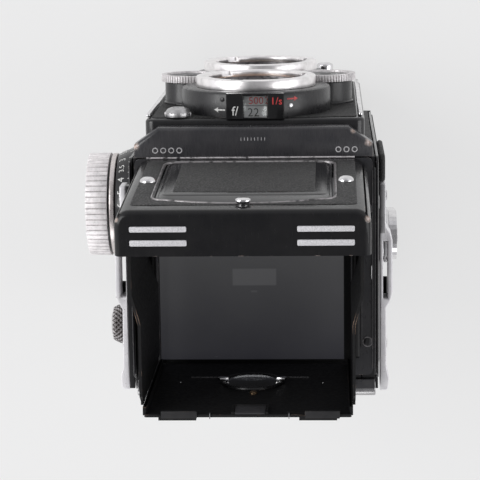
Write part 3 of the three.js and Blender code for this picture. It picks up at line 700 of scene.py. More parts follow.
# Strap lugs: a pale plate with a bridge over the slot. The left one stands on a black packing strip.
LUG_Z = (109.5, 118)
left_plan = [
    (41, -28), (42.9, -28), (42.9, -14), (44.9, -11), (44.9, 8), (42.8, 12), (43, 31), (43.8, 33.5),
    (43.7, 37.4), (43, 38.3), (41, 38.3)
]
right_plan = [
    (39.4, -28.4), (41.2, -28.4), (41.4, -14.7), (42.9, -12.2), (43.4, -10), (43.4, 6.5), (42.5, 9.7),
    (41.4, 11.6), (41.5, 31), (42.3, 35), (41.9, 38.2), (41.2, 38.7), (39.4, 38.7)
]
piece("strap_lug_left_plate", prism("z", left_plan, LUG_Z), STRIP, "camera_body", "strap_lug_left",
      cuts=[block((41.5, 43.4), (-10, 8), (100, 130))], edge=0.35, segments=3)
piece(
    "strap_lug_left_packing", block((39.3, 41.05), (-28, 38), (109.8, 117.7)), ENAMEL, "camera_body", edge=0.2
)
# The black sheets under the slots stand for the shade inside them.
piece("strap_lug_left_shade", block((41.5, 43.35), (4.2, 7.95), (109.9, 110.4)), HOOD_BLACK, "camera_body")
piece(
    "strap_lug_right_plate", prism("z", [(-x, y) for x, y in right_plan][::-1], LUG_Z), STRIP, "camera_body",
    "strap_lug_right", cuts=[block((-41.9, -40.4), (-10, 8.7), (100, 130))], edge=0.35, segments=3
)
piece("strap_lug_right_shade", block((-41.85, -40.45), (3, 8.6), (109.9, 110.4)), HOOD_BLACK, "camera_body")
piece(
    "strap_catch_right",
    merge(
        block((-41.7, -40.6), (-9.6, -5), (116.2, 117.4)),
        turned("z", (-41.1, -3.6), [(0, 112), (0.65, 112), (0.65, 117.2), (0.4, 117.5), (0, 117.5)], 20)
    ),
    CHROME, "camera_body", edge=0.1
)
piece(
    "strap_cover_right", block((-41.1, -39.5), (-28, -12.5), (117.9, 118.35)), STEEL, "camera_body", edge=0.15
)
for y, end in ((-24, "front"), (24, "rear")):
    screw(f"strap_lug_screw_left_{end}", (42.95, y, 113.7), "+x", SATIN, "camera_body", 1.6, 0.4)
    screw(f"strap_lug_screw_right_{end}", (-41.4, y, 113.7), "-x", SATIN, "camera_body", 1.6, 0.4)

cover_plan = [(-37, -38.3), (-37, -42.4), (-29.5, -47.7), (29.5, -47.7), (37, -42.4), (37, -38.3)]
cover = prism("z", cover_plan, (121.2, 127.4))
front_edges = [e for e in cover.edges if all(v.co.z > 127 and v.co.y < -41 for v in e.verts)]
round_edges(cover, front_edges, 1.2, 5)
cover_spots = [(-31, -46.3, 127, 1.0), (-35.8, -42.8, 127, 1.5), (36.6, -42, 127, 1.5)]
piece("top_front_cover_shell", cover, enamel("cover_enamel", 0.028, 0.25, 1.0, 0.75, cover_spots),
      "camera_body", "top_front_cover", edge=0.15, segments=2)
# Plain engraved ornaments, filled with white: rings at the ends and short ticks in the middle.
ornaments = []
COVER_TOP = 127.42
FILL_LOW = COVER_TOP - 0.1
for first, count, pitch in ((30.4, 4, 2.5), (-26.4, 3, 2.5)):
    for i in range(count):
        ring = [(0.62, FILL_LOW), (0.92, FILL_LOW), (0.92, COVER_TOP), (0.62, COVER_TOP), (0.62, FILL_LOW)]
        ornaments.append(turned("z", (first - i * pitch, -40.6), ring, 24))
for i in range(8):
    x = 3.7 - i * 1.05
    ornaments.append(block((x - 0.09, x + 0.09), (-44.5, -43.5), (FILL_LOW, COVER_TOP)))
piece("cover_ornaments", merge(*ornaments), paint("ornament_fill", (0.5, 0.49, 0.5)), "camera_body")
piece("lid_hinge_pin", rod("x", (-38.25, 127.75), 0.32, (-31.4, 33.2), 16), HINGE_WORN, "camera_body")

for x in (-35.3, 35.3):
    for y, end in ((-22, "front"), (20.3, "rear")):
        side = f"{side_of(x)}_{end}"
        screw(f"deck_screw_{side}", (x, y, DECK), "+z", HOUSING_PAINT, "camera_body", 1.3, 0.35)
        rim = [(1.3, DECK), (1.65, DECK), (1.6, DECK + 0.22), (1.38, DECK + 0.22), (1.3, DECK)]
        piece(f"deck_screw_{side}_seat", turned("z", (x, y), rim, 32), WORN, "camera_body")

# Folded ribs of the deck beside the hood.
for name, x, y in (
    ("right_inner", (-33.6, -33.15), (-36, 22)), ("right_middle", (-37.0, -36.7), (-34, 29)),
    ("right_outer", (-37.75, -37.4), (-35, 31)), ("left_middle", (36.0, 36.4), (-34, 29)),
    ("left_outer", (38.3, 38.7), (-37, 31))
):
    base = 125.5 if name == "left_outer" else DECK - 0.1
    piece(f"deck_rib_{name}", block(x, y, (base, DECK + 0.35)), DECK_PAINT, "camera_body", edge=0.14)
piece("deck_bar_left", block((35.0, 35.4), (6, 24), (DECK - 0.05, DECK + 0.3)), WORN, "camera_body", edge=0.1)
piece(
    "deck_glint_right", block((-36.65, -36.35), (-4.2, 0.2), (DECK - 0.05, DECK + 0.4)), CHROME,
    "camera_body", edge=0.1
)
piece(
    "side_bump_right", prism("x", rounded((-38, -29), (84, 121.5), 3), (-41, -39.1)), LEATHER, "camera_body",
    edge=0.9, segments=4
)

# A dark mask frames the screen; its wider right-hand strip also stands for painted shade cast by the right
# wall.
mask_sides = (
    ((30.0, 30.6), (-34, 27.8)), ((-30.6, -27.9), (-34, 27.8)), ((-27.9, 30.0), (26.5, 27.8)),
    ((-27.9, 30.0), (-34, -31.5)),
)
piece(
    "screen_mask", merge(*(block(x, y, (125.45, 125.75)) for x, y in mask_sides)), HOOD_BLACK, "camera_body"
)

counter_centre = (-27, 100)
piece(
    "counter_bezel",
    turned(
        "x", counter_centre,
        [(3.6, -40.6), (4.9, -40.75), (5.6, -40.2), (5.6, -39.6), (3.6, -39.6), (3.6, -40.6)], 64
    ),
    HOUSING_PAINT, "camera_body", "frame_counter_window", edge=0.12
)
piece("counter_dial", rod("x", counter_centre, 3.6, (-39.95, -39.6), 48), SCALE_SILVER, "camera_body")
piece(
    "counter_figures",
    lettering([("7", 2.6, facing((-39.96, counter_centre[0], counter_centre[1]), (0, -1, 0), (0, 0, 1)))]),
    BLACK_FIGURES, "camera_body"
)
piece(
    "counter_glass",
    turned("x", counter_centre, [(0, -40.75), (2.5, -40.65), (3.5, -40.45), (3.5, -40.2), (0, -40.2)], 48),
    PLAIN_GLASS, "camera_body"
)

# ---- back door, with its hinge ----
dress("back_door", ENAMEL, 0.5, 3)
dress("film_roller_upper", STEEL, 0.1)
dress("film_roller_lower", STEEL, 0.1)
piece(
    "back_leather", prism("y", rounded((-36.6, 36.6), (8, 117.5), 2), (37.2, 37.75)), LEATHER, "back",
    edge=0.3
)
piece(
    "base_leather_ring", prism("z", rounded((-36.4, 36.4), (-35.6, 33), 2.5), (1.15, 1.65)), LEATHER, "back",
    cuts=[rod("z", (0, -2), 15, (0, 3), 64)], edge=0.2
)
knuckles = []
for low, high in ((-37.8, -22.4), (-22, -7.6), (-7.2, 7.2), (7.6, 22), (22.4, 37.8)):
    profile = [(0, low), (2, low), (2.2, low + 0.2), (2.2, high - 0.2), (2, high), (0, high)]
    knuckles.append(turned("x", HINGE_AXIS, profile, 40))
piece(
    "back_door_hinge_barrel", merge(*knuckles), HINGE_STEEL, "camera_body", "back_door_hinge", edge=0.1,
)
piece(
    "back_door_hinge_leaf", block((-37.6, 37.6), (32.9, 36.0), (122.4, 126.35)), DECK_PAINT, "camera_body",
    edge=0.25
)
dress("tripod_socket", STEEL, 0.2)
dress("door_latch", SATIN, 0.15)
for place_name in ("front_left", "front_right", "rear_left", "rear_right"):
    dress(f"foot_{place_name}", SATIN, 0.2)

# A plate of exposure figures on the back.
plate_z = (52, 92)
piece(
    "back_table", prism("y", rounded((-24, 24), plate_z, 1.5), (37.6, 38.05)), SCALE_SILVER, "back", edge=0.1
)
rows = []
for row, numbers in enumerate(("4 5.6 8 11 16", "2 4 5.6 8 11", "1 2 4 5.6 8", "25 50 100 250 500")):
    for column, number in enumerate(numbers.split()):
        place_at = facing(((column - 2) * 8.6, 38.06, plate_z[1] - 6.5 - row * 9), (-1, 0, 0), (0, 0, 1))
        rows.append((number, 2.6, place_at))
lines = [block((-22, 22), (38.02, 38.09), (z - 0.12, z + 0.12)) for z in (60.5, 69.5, 78.5)]
piece("back_table_figures", merge(lettering(rows), *lines), BLACK_FIGURES, "back")

# ---- spools and knobs ----
KNURL_SPAN, KNURL_R, KNURL_DEPTH, KNURL_POINTS, KNURL_LEVELS = (40.9, 47.9), 6.85, 1.0, 48, 10
dress("take_up_spool", ENAMEL, 0.2)
for name, body, y, z in (
    ("spool_knob_upper", "upper_spool_knob", 20.9, 98.3), ("spool_knob_lower", "lower_spool_knob", -8.5, 18.5)
):
    dome = [
        (0, 27.5), (2.2, 27.5), (2.2, 39.6), (6.2, 39.6), (6.2, 40.4), (5.4, 41), (5.2, 47.6), (3.6, 48.3),
        (0, 48.7)
    ]
    core = turned("x", (y, z), dome, 64)
    # Diamond knurl: two sets of slanting ridges that cross.
    low, high = KNURL_SPAN
    knurl = bmesh.new()
    grid = []
    for k in range(KNURL_LEVELS):
        t = k / (KNURL_LEVELS - 1)
        swell = KNURL_R - 1.5 * max(0, t - 0.35) ** 2 / 0.42
        row = []
        for i in range(KNURL_POINTS):
            a = 2 * math.pi * i / KNURL_POINTS
            r = swell - (KNURL_DEPTH if (i + k) % 2 else 0)
            row.append(knurl.verts.new((low + (high - low) * t, y + r * math.cos(a), z + r * math.sin(a))))
        grid.append(row)
    for k, (a, b) in enumerate(zip(grid, grid[1:])):
        for i in range(KNURL_POINTS):
            j = (i + 1) % KNURL_POINTS
            # Each cell folds along the line that joins its two peaks.
            if (i + k) % 2 == 0:
                folds = (a[i], a[j], b[j]), (a[i], b[j], b[i])
            else:
                folds = (a[i], a[j], b[i]), (a[j], b[j], b[i])
            for fold in folds:
                knurl.faces.new(fold)
    for row, x in ((grid[0], low), (grid[-1], high + 0.25)):
        centre = knurl.verts.new((x, y, z))
        for i in range(KNURL_POINTS):
            knurl.faces.new((row[i], row[(i + 1) % KNURL_POINTS], centre))
    piece(f"{name}_grip", merge(core, outward(knurl)), DIAMOND, body, name, angle=5)

# ---- focusing knob ----
knob = prism("x", toothed(FOCUS, 17.3, 0.4, 57, 0.76, 0.07), (50.0, 57.1))
dish = turned("x", FOCUS, [(0, 56.2), (14.4, 56.2), (14.9, 59), (0, 59)], 96)
piece(
    "focus_knob_grip", knob, KNURLED, "focus_control", "focus_knob", cuts=[dish], edge=0.13, segments=2,
    angle=28
)
piece("focus_knob_neck", rod("x", FOCUS, 16.35, (49, 50.2), 96), HOUSING_PAINT, "focus_control")
flange = [(0, 47.5), (16.9, 47.5), (17.2, 47.8), (17.2, 49.1), (16.9, 49.35), (0, 49.35)]
piece(
    "focus_knob_flange", turned("x", FOCUS, flange, 128),
    metal("flange_chrome", 0.72, 0.3, 0.4, 0.7, tint=(1, 0.93, 0.91)), "focus_control", edge=0.1
)
piece(
    "focus_knob_disc",
    turned("x", FOCUS, [(0, 56.4), (5, 56.4), (5.4, 56.3), (13.6, 56.3), (13.9, 56.2), (0, 56.2)], 96),
    ENAMEL, "focus_control"
)
marks = []
for i, number in enumerate((25, 50, 80, 100, 200, 400)):
    a = math.radians(60 * i)
    seat = Vector((56.44, *FOCUS)) + knob_spoke(a) * 10.6
    marks.append((str(number), 1.9, facing(seat, (0, -math.sin(a), math.cos(a)), -knob_spoke(a))))
piece("focus_knob_disc_figures", lettering(marks), WHITE, "focus_control")
piece(
    "focus_knob_cap", turned("x", FOCUS, [(0, 56.2), (3, 56.2), (3, 56.9), (2.4, 57.1), (0, 57.1)], 48),
    SATIN, "focus_control", edge=0.1
)
CONE_WIDE, CONE_NARROW, CONE_START, CONE_END = 19.6, 17, 41.2, 47.2
cone = [
    (3, 40), (19.2, 40), (CONE_WIDE, 40.3), (CONE_WIDE, CONE_START), (CONE_NARROW, CONE_END), (3, CONE_END),
    (3, 40)
]
piece(
    "distance_ring", turned("x", FOCUS, cone, 128), ENAMEL, "focus_control", "distance_scale_ring", edge=0.15
)
slope = math.atan2(CONE_WIDE - CONE_NARROW, CONE_END - CONE_START)
figures, ticks = [], []
feet, metres = "3 3.5 4 5 6 7 8 10 12 15 20 30 60", "1 1.2 1.5 2 2.5 3 4 5 8 10 20 50"


def on_cone(a, x, r):
    """The plane of a mark on the ring's cone."""
    out = Vector((math.sin(slope), math.cos(slope) * math.cos(a), math.cos(slope) * math.sin(a)))
    tangent = Vector((0, -math.sin(a), math.cos(a)))
    return facing(Vector((x, *FOCUS)) + knob_spoke(a) * r + out * PROUD, tangent, out.cross(tangent))


for i, text in enumerate(feet.split() + metres.split()):
    a = math.radians(154 - i * 14.2)
    figures.append((text, 2.4 if len(text) < 3 else 1.9, on_cone(a, 45.2, 17.87)))
    for b in (a, a - math.radians(7.1)):
        ticks.append(shifted(block((-0.13, 0.13), (-0.6, 0.6), (-PROUD, PROUD)), on_cone(b, 42.4, 19.08)))
piece("distance_figures", merge(lettering(figures), *ticks), WHITE, "focus_control")

# ---- crank ----
hub = [(0, -43.25), (8.4, -43.25), (9, -42.7), (9, -39.6), (0, -39.6)]
piece("crank_boss", turned("x", CRANK, hub, 96), SATIN, "crank", "crank_hub", edge=0.12)
dress("crank_arm", CHROME, 0.35, 3)
dress("crank_handle", SATIN, 0.15)
screw("crank_screw", (-45.95, *CRANK), "-x", SATIN, "crank", 2.6, 0.5)

# ---- lens board ----
board = prism("y", rounded((-34.7, 34.1), (8, 120.5), 3, 10), (BOARD_FRONT, -38.4))
rim = [e for e in board.edges if all(abs(v.co.y - BOARD_FRONT) < CLOSE for v in e.verts)]
round_edges(board, rim, 1.1, 6)
hollow = prism("y", rounded((-32, 32), (10.4, 118.1), 2), (-47, -30))
holes = [rod("y", (0, z), 15.2, THROUGH_BOARD, 64) for z in (TAKING_Z, VIEWING_Z)]
piece("lens_board_shell", board, BOARD_PAINT, "lens_standard", "lens_board", cuts=[hollow, *holes], edge=0.12)
skin = prism("y", rounded((-32.2, 32.2), (10.4, 118), 2.2), (BOARD_FRONT - 0.35, BOARD_FRONT + 0.2))
clearances = [rod("y", (0, z), r, THROUGH_BOARD, 96) for z, r in ((TAKING_Z, 22.2), (VIEWING_Z, 23.8))]
piece("lens_board_leather", skin, LEATHER, "lens_standard", cuts=clearances, edge=0.15)
for hand, side in HANDS:
    x = sorted((hand * 32.7, hand * 34.1))
    piece(
        f"front_trim_{side}_bead", prism("y", rounded(x, (12, 116.5), 0.65), (-50.7, -49.7)), CHROME,
        "lens_standard", f"front_trim_{side}", edge=0.3, segments=3
    )
    post = [(0, -57.0), (8.6, -57.0), (8.8, -56.8), (8.8, -50.6), (9.3, -50.2), (9.3, -49), (0, -49)]
    piece(
        f"wheel_post_{side}", turned("y", (hand * WHEEL.x, WHEEL.z), post, 80), HOUSING_PAINT,
        "lens_standard", edge=0.1
    )

# Wheels: coarse milled rims with a dished dark face.
for hand, name, body in (
    (1, "aperture_wheel", "aperture_control"), (-1, "shutter_speed_wheel", "speed_control")
):
    centre = (hand * WHEEL.x, WHEEL.z)
    rim = prism("y", toothed(centre, WHEEL_R, 0.28, 64, 0.56, 0.14), (WHEEL.y - 0.2, -57.1))
    face = turned("y", centre, [(0, -61), (8.3, -61), (8.1, -58.75), (0, -58.75)], 64)
    piece(f"{name}_rim", rim, MILLED, body, name, cuts=[face], edge=0.1, angle=28)
    piece(
        f"{name}_face",
        turned(
            "y", centre, [(0, -59.15), (1.6, -59.2), (2.2, -58.85), (8, -58.8), (8, -58.6), (0, -58.6)], 64
        ),
        HOUSING_PAINT, body, edge=0.05
    )


def wheel_rooms():
    """Room for both wheels in what stands beside them."""
    return [rod("y", (hand * WHEEL.x, WHEEL.z), WHEEL_R + 0.5, THROUGH_DRUM, 72) for hand in (1, -1)]


DRUM_R = 24
viewing_body = [
    (17, -57.6), (23.0, -57.6), (23.7, -57.3), (DRUM_R, -56.6), (DRUM_R, -49.6), (22.9, -49.6), (22.9, -56.8),
    (17, -56.8), (17, -57.6)
]
piece(
    "viewing_housing_shell", turned("y", (0, VIEWING_Z), viewing_body, 144), HOUSING_PAINT, "lens_standard",
    "viewing_lens_housing", cuts=[*wheel_rooms(), block((-4.5, 3.2), (-56.6, -49.9), (110, 130))], edge=0.18
)
BLOCK_X, BLOCK_TOP = (-9.6, 8.5), 121.6
WINDOW_X, WINDOW_Y = (-4.5, 3.2), (-56.9, -49.7)
window_block = block(BLOCK_X, (-57.5, -49.5), (117, BLOCK_TOP))
under = rod("y", (0, VIEWING_Z), 22.9, (-60, -45), 120)
piece("window_block", window_block, enamel("block_enamel", 0.006, 0.12, 0.25, 0.3), "lens_standard",
      cuts=[under, block(WINDOW_X, WINDOW_Y, (110, 130))], edge=0.25, segments=3)
inset = [(WINDOW_X[0] + 0.25, WINDOW_X[1] - 0.25), (WINDOW_Y[0] + 0.25, WINDOW_Y[1] - 0.25)]
piece("dial_glass", block(*inset, (120.7, 121.45)), PLAIN_GLASS, "lens_standard", "dial_window", edge=0.1)
taking_body = [(17, -58), (21.7, -58), (22.4, -57.3), (22.4, -49.8), (17, -49.8), (17, -58)]
neighbour = rod("y", (0, VIEWING_Z), DRUM_R + 0.3, THROUGH_DRUM, 144)
piece(
    "taking_housing_shell", turned("y", (0, TAKING_Z), taking_body, 144), HOUSING_PAINT, "lens_standard",
    "taking_lens_housing", cuts=[*wheel_rooms(), neighbour], edge=0.18
)

# Marks on the drum: arrows either side, and a letter for each scale.
top = BLOCK_TOP + 0.02
marks_white = [("f/", 2.9, facing((5.7, -51.9, top), (-1, 0, 0), (0, -1, 0)))]
marks_red = [("1/s", 2.3, facing((-7.2, -55.0, top), (-1, 0, 0), (0, -1, 0)))]


def arrow(angle_deg, y, hand):
    """A flat arrow lying on the drum, pointing away from the window."""
    a = math.radians(angle_deg)
    seat = Vector((0, y, VIEWING_Z)) + spoke(a) * (DRUM_R + PROUD)
    tangent = Vector((math.sin(a), 0, -math.cos(a))) * hand
    tip, thin, wide = 1.95, 0.22, 0.8
    neck = tip - 1.3
    shape = [
        (-tip, -thin), (neck, -thin), (neck - 0.2, -wide), (tip, 0), (neck - 0.2, wide), (neck, thin),
        (-tip, thin)
    ]
    return shifted(prism("z", shape, (-PROUD, PROUD)), facing(seat, tangent, spoke(a).cross(tangent)))


piece("drum_marks_white", merge(lettering(marks_white), arrow(63.6, -52.1, 1)), WHITE, "lens_standard")
piece("drum_marks_red", merge(lettering(marks_red), arrow(120.4, -55.4, -1)), RED, "lens_standard")
for angle_deg, y in ((66, -55.4), (119, -53.2)):
    stud = turned("z", (0, 0), [(0, -0.3), (0.75, -0.3), (0.75, 0.12), (0.5, 0.25), (0, 0.25)], 24)
    normal = spoke(math.radians(angle_deg))
    seat = facing(Vector((0, y, VIEWING_Z)) + normal * DRUM_R, Vector((0, 1, 0)).cross(normal), (0, 1, 0))
    look = HOUSING_PAINT if angle_deg < 90 else SATIN
    piece(f"drum_screw_{angle_deg}", shifted(stud, seat), look, "lens_standard")

SCALE_R, WEB_THICK = 22.5, 0.8


def arc_band(r0, r1, span, y):
    """A flat band round the viewing lens, over a span of degrees."""
    angles = [math.radians(span[0] + (span[1] - span[0]) * i / 60) for i in range(61)]
    points = [(r1 * math.cos(a), VIEWING_Z + r1 * math.sin(a)) for a in angles]
    points += [(r0 * math.cos(a), VIEWING_Z + r0 * math.sin(a)) for a in reversed(angles)]
    return prism("y", points, y)


def scale(name, body, y, span, values, first, step, look, size, middle):
    """A ring with an arc whose rim carries figures."""
    inner, outer, front, rear = 17.3, 19.8, y[1] - WEB_THICK, y[1]
    web = turned(
        "y", (0, VIEWING_Z), [(inner, front), (outer, front), (outer, rear), (inner, rear), (inner, front)],
        96
    )
    y = (y[0] - 0.1, y[1] + 0.1)
    piece(
        f"{name}_rim",
        merge(web, arc_band(19.6, 21.6, span, (y[1] - WEB_THICK, y[1])), arc_band(21.4, SCALE_R, span, y)),
        SCALE_SILVER, body, name
    )
    items = []
    for i, value in enumerate(values.split()):
        a = math.radians(first + i * step)
        seat = Vector((0, middle, VIEWING_Z)) + spoke(a) * (SCALE_R + 0.05)
        items.append((value, size, facing(seat, (-math.sin(a), 0, math.cos(a)), (0, -1, 0))))
    piece(f"{name}_figures", lettering(items), look, body)


scale(
    "aperture_scale", "aperture_dial", (-53.2, -50.2), (32, 148), "4 5.6 8 11 16 22", 90 - 11 * 5, 11,
    BLACK_FIGURES, 2.5, -51.4
)
scale(
    "shutter_speed_scale", "speed_dial", (-56.7, -53.7), (76, 196), "500 250 100 50 25 10 5 2 1", 92, 11.75,
    RED, 2.1, -54.8
)

# Bayonet rings and what is inside them.
for name, z, bulge, r, front, thick in (
    ("viewing", VIEWING_Z, 2.2, 14.5, -55.5, 3.5), ("taking", TAKING_Z, 1.8, 12, -54.5, 4)
):
    edge = RING_FRONT[name]
    ring = [
        (15.3, edge + 2), (15.3, edge + 0.5), (15.7, edge), (18.9, edge), (19.2, edge + 0.15),
        (19.3, edge + 0.4), (19.3, edge + 3.2), (19.1, edge + 3.35), (19.1, -56.9), (17.3, -56.9),
        (17.3, edge + 2), (15.3, edge + 2),
    ]
    notches = []
    for start in (20, 140, 260):
        turn = Matrix.Translation((0, 0, z)) @ Matrix.Rotation(math.radians(start), 4, "Y")
        notches.append(shifted(block((-2.2, 2.2), (edge - 1, edge + 1.3), (14, 16.6)), turn))
    piece(
        f"{name}_ring_front", turned("y", (0, z), ring, 160), RING_CHROME, "lens_standard",
        f"{name}_bayonet_ring", cuts=notches, edge=0.08
    )
    sleeve = [(15.6, edge + 1.6), (16.8, edge + 1.6), (16.8, -49.8), (15.1, -49.8), (15.1, -51)]
    ribs = [(15.1 + (0.35 if i % 2 else 0), -51 - 0.3 * (i + 1)) for i in range(24)]
    piece(
        f"{name}_ring_sleeve", turned("y", (0, z), [*sleeve, *ribs, (15.6, edge + 1.6)], 112), AMBER_BLACK,
        "lens_standard"
    )
    dome = [
        (
            r * math.sin(t * 0.1 * math.pi / 2), front - bulge * math.cos(t * 0.1 * math.pi / 2)
        ) for t in range(11)
    ]
    piece(
        f"{name}_lens_front",
        turned("y", (0, z), [*dome, (r, front + thick * 0.5), (0, front + thick * 0.8)], 96), LENS_GLASS,
        "lens_standard", f"{name}_lens"
    )
    retaining = [
        (r - 0.9, front - 0.9), (r - 0.4, front - 1.1), (r + 0.5, front - 0.9), (r + 0.5, front + 2),
        (r - 0.1, front + 2), (r - 0.1, front - 0.2), (r - 0.9, front - 0.9)
    ]
    piece(
        f"{name}_retaining_ring", turned("y", (0, z), retaining, 96), HOUSING_PAINT, "lens_standard",
        edge=0.05
    )
    barrel = [(r, front + 2.3), (r, front + 2.6)]
    for i in range(5):
        barrel += [(r - 1.6 * i - 0.4, front + 2.9 + i * 0.9), (r - 1.6 * i - 1.6, front + 3.1 + i * 0.9)]
    barrel += [(0, barrel[-1][1]), (0, barrel[-1][1] + 0.8), (r, barrel[-1][1] + 0.8), (r, front + 2.3)]
    piece(f"{name}_barrel", turned("y", (0, z), barrel[:-1], 80), RIBBED_BLACK, "lens_standard")
outer = [(12.6, -57.2), (14.9, -57.2), (15.0, -56.6), (15.0, -55.8), (12.6, -55.4), (12.6, -57.2)]
piece("taking_front_ring", turned("y", (0, TAKING_Z), outer, 96), HOUSING_PAINT, "lens_standard", edge=0.08)
dress("shutter_unit", STEEL, 0.2)

# Small front controls.
piece(
    "release_button_cap",
    turned(
        "y", (-22, 17),
        [(0, -57.3), (1.6, -57.2), (2.6, -56.9), (3, -56.3), (3, -53), (2.2, -53), (2.2, -46), (0, -46)], 48
    ),
    CHROME, "shutter_release", "release_button", edge=0.08
)
dress("release_guard", SATIN, 0.2)
dress("self_timer_lever", CHROME, 0.25, 3)
socket = [
    (0.9, -51.4), (1.5, -52.6), (2.2, -52.7), (3.3, -52.2), (4.2, -50.9), (4.2, -49.8), (0.9, -49.8),
    (0.9, -51.4)
]
star = prism("y", toothed(SOCKET, 4.3, 0.35, 20, 0.45, 0.2), (-51.2, -49.8))
piece(
    "flash_socket_collar", merge(turned("y", SOCKET, socket, 40), star), STEEL, "lens_standard",
    "flash_socket", edge=0.08, angle=26
)
piece(
    "flash_socket_pin", turned("y", SOCKET, [(0, -51.8), (0.45, -51.7), (0.45, -49.8), (0, -49.8)], 16),
    BRASS, "lens_standard"
)

# ---- hood ----
FLAP_X, FLAP_HALF, FLAP_LOW, FLAP_HIGH, FLAP_BOW, FLAP_SHOULDER = 0.75, 25.1, 6.4, 54.4, 5.2, 0.6


def flap_outline(grow, corner=3.2):
    """The flap's rounded outline, whose top edge rises to the catch."""
    half, low, high = FLAP_HALF + grow, FLAP_LOW - grow, FLAP_HIGH + grow
    corners = quarter((half - corner, low + corner), corner, -90, 7)
    corners += quarter((half - corner, high - corner + FLAP_SHOULDER), corner, 0, 7)
    top, rise = [], FLAP_BOW - FLAP_SHOULDER
    for i in range(1, 16):
        across = 2 * (i / 16) - 1
        top.append(((half - corner) * -across, high + FLAP_SHOULDER + rise * (1 - across ** 2)))
    mirrored = [(-u, v) for u, v in corners]
    return [(u + FLAP_X, v) for u, v in corners + top + mirrored[::-1]]


LID_X, LID_LONG, LID_DEEP, LID_BASE = (-35.2, 36.3), 68.7, 13.0, 0.9
LID_HALF = 35.7
LID_CORNER = 4.4
lid_plan = [(LID_X[0], LID_DEEP), (LID_X[1], LID_DEEP)]
for cx, start in ((LID_X[1] - LID_CORNER, 0), (LID_X[0] + LID_CORNER, -90)):
    angles = [math.radians(start - 10 * i) for i in range(10)]
    lid_plan += [(cx + LID_CORNER * math.cos(a), LID_CORNER + LID_CORNER * math.sin(a)) for a in angles]
shell = prism("z", lid_plan, (LID_BASE, LID_LONG))
top_edges = [e for e in shell.edges if all(abs(v.co.z - LID_LONG) < CLOSE for v in e.verts)]
top_rim = [e for e in top_edges if min(v.co.y for v in e.verts) < LID_DEEP - 0.01]
round_edges(shell, top_rim, 2.0, 6)
inside = block((LID_X[0] + 1, LID_X[1] - 1), (1, LID_DEEP + 1), (-1, LID_LONG - 1))
heel = to_object("heel", block((-LID_HALF - 1, LID_HALF + 1), (6, LID_DEEP + 1), (-1, 7)), LID)
round_tool = rod("x", (6, 7), 6.7, (-38, 38), 96)
carve(heel, [round_tool], LID)
heel_mesh = bmesh.new()
heel_mesh.from_mesh(heel.data)
bpy.data.objects.remove(heel)
shifted(heel_mesh, LID.inverted())
piece(
    "hood_lid_shell", shell, LID_PAINT, "lid", "hood_lid",
    cuts=[inside, heel_mesh, prism("y", flap_outline(0.4), (-1, 3))], edge=0.2, segments=3
)

skin = prism("y", rounded((-31.4, 32.3), (3.2, 61.8), 1.6), (-0.2, 0.1))
piece("lid_leather", skin, LID_LEATHER, "lid", cuts=[prism("y", flap_outline(1.5, 4), (-1, 1))], edge=0.12)


def between(bm, outer, inner, t, y):
    """A row of vertices a share t of the way from one outline to another."""
    return [
        bm.verts.new((o[0] * (1 - t) + i[0] * t, y, o[1] * (1 - t) + i[1] * t)) for o, i in zip(outer, inner)
    ]


def bead(outer, inner, span, crest):
    """A raised rim between two outlines with as many points, rounded over to its crest."""
    bm = bmesh.new()
    shoulder = crest * 0.7 + span * 0.3
    section = (0, span), (0.12, shoulder), (0.5, crest), (0.88, shoulder), (1, span)
    rows = [between(bm, outer, inner, t, y) for t, y in section]
    rows.append(rows[0])
    for a, b in zip(rows, rows[1:]):
        bridge(bm, a, b)
    return outward(bm)


piece("lid_opening_bead", bead(flap_outline(1.45, 4), flap_outline(0.6, 3.6), 0.15, -0.5), WORN, "lid")
piece("flap_plate", prism("y", flap_outline(0), (0, 1)), ENAMEL, "flap", "sports_finder_flap", edge=0.15)
piece("flap_bead", bead(flap_outline(-0.25), flap_outline(-0.85, 2.6), 0.1, -0.12), FLAP_PAINT, "flap")
# The painted frame slopes up a little from the plate to the covered panel.
LEATHER_X, LEATHER_S = (-19.5, 21.4), (6.9, 46.4)
slope_outer = rounded((-23.1, 24.6), (6.6, 50.3), 2.4, 6)
slope_inner = rounded(
    (LEATHER_X[0] - 0.3, LEATHER_X[1] + 0.3), (LEATHER_S[0] - 0.2, LEATHER_S[1] + 0.6), 0.9, 6
)
raised = bmesh.new()
section = (0, 0.02), (0.35, -0.22), (1, -0.28), (0, 0.4)
low_row, mid_row, high_row, base_row = (between(raised, slope_outer, slope_inner, t, y) for t, y in section)
for a, b in ((base_row, low_row), (low_row, mid_row), (mid_row, high_row)):
    bridge(raised, a, b)
raised.faces.new(high_row)
raised.faces.new(base_row[::-1])
piece("flap_frame", outward(raised), FLAP_PAINT, "flap", edge=0.1, angle=60)
piece(
    "flap_leather", prism("y", rounded(LEATHER_X, LEATHER_S, 0.5), (-0.38, -0.2)), LID_LEATHER, "flap",
    edge=0.1
)
flap_pin = [(0, -24.5), (0.55, -24.3), (0.55, 24.3), (0, 24.5)]
piece("flap_hinge_pin", turned("x", (0.6, 6.9), flap_pin, 20), HINGE_STEEL, "flap")

catch = [(0, -2), (1.2, -1.95), (1.75, -1.65), (1.85, -1.1), (1.5, -0.6), (1.2, -0.5), (1.2, 0.1), (0, 0.1)]
catch_knob = shifted(
    turned("y", (0, 0), catch, 48), Matrix.Translation((0.5, 0, 61.3)) @ Matrix.Diagonal((1.22, 1, 1, 1))
)
piece("flap_catch_knob", catch_knob, CHROME, "lid", "flap_catch", edge=0.08)
stud = [(0, -1.75), (0.9, -1.7), (1.75, -1.4), (2.25, -0.9), (2.4, -0.5), (2.4, 0), (0, 0)]
for x in (29.7, -28.4):
    side = side_of(x)
    piece(
        f"lid_stud_{side}_dome", turned("y", (x, 32.5), stud, 48), CHROME, "lid", f"lid_stud_{side}",
        edge=0.06
    )

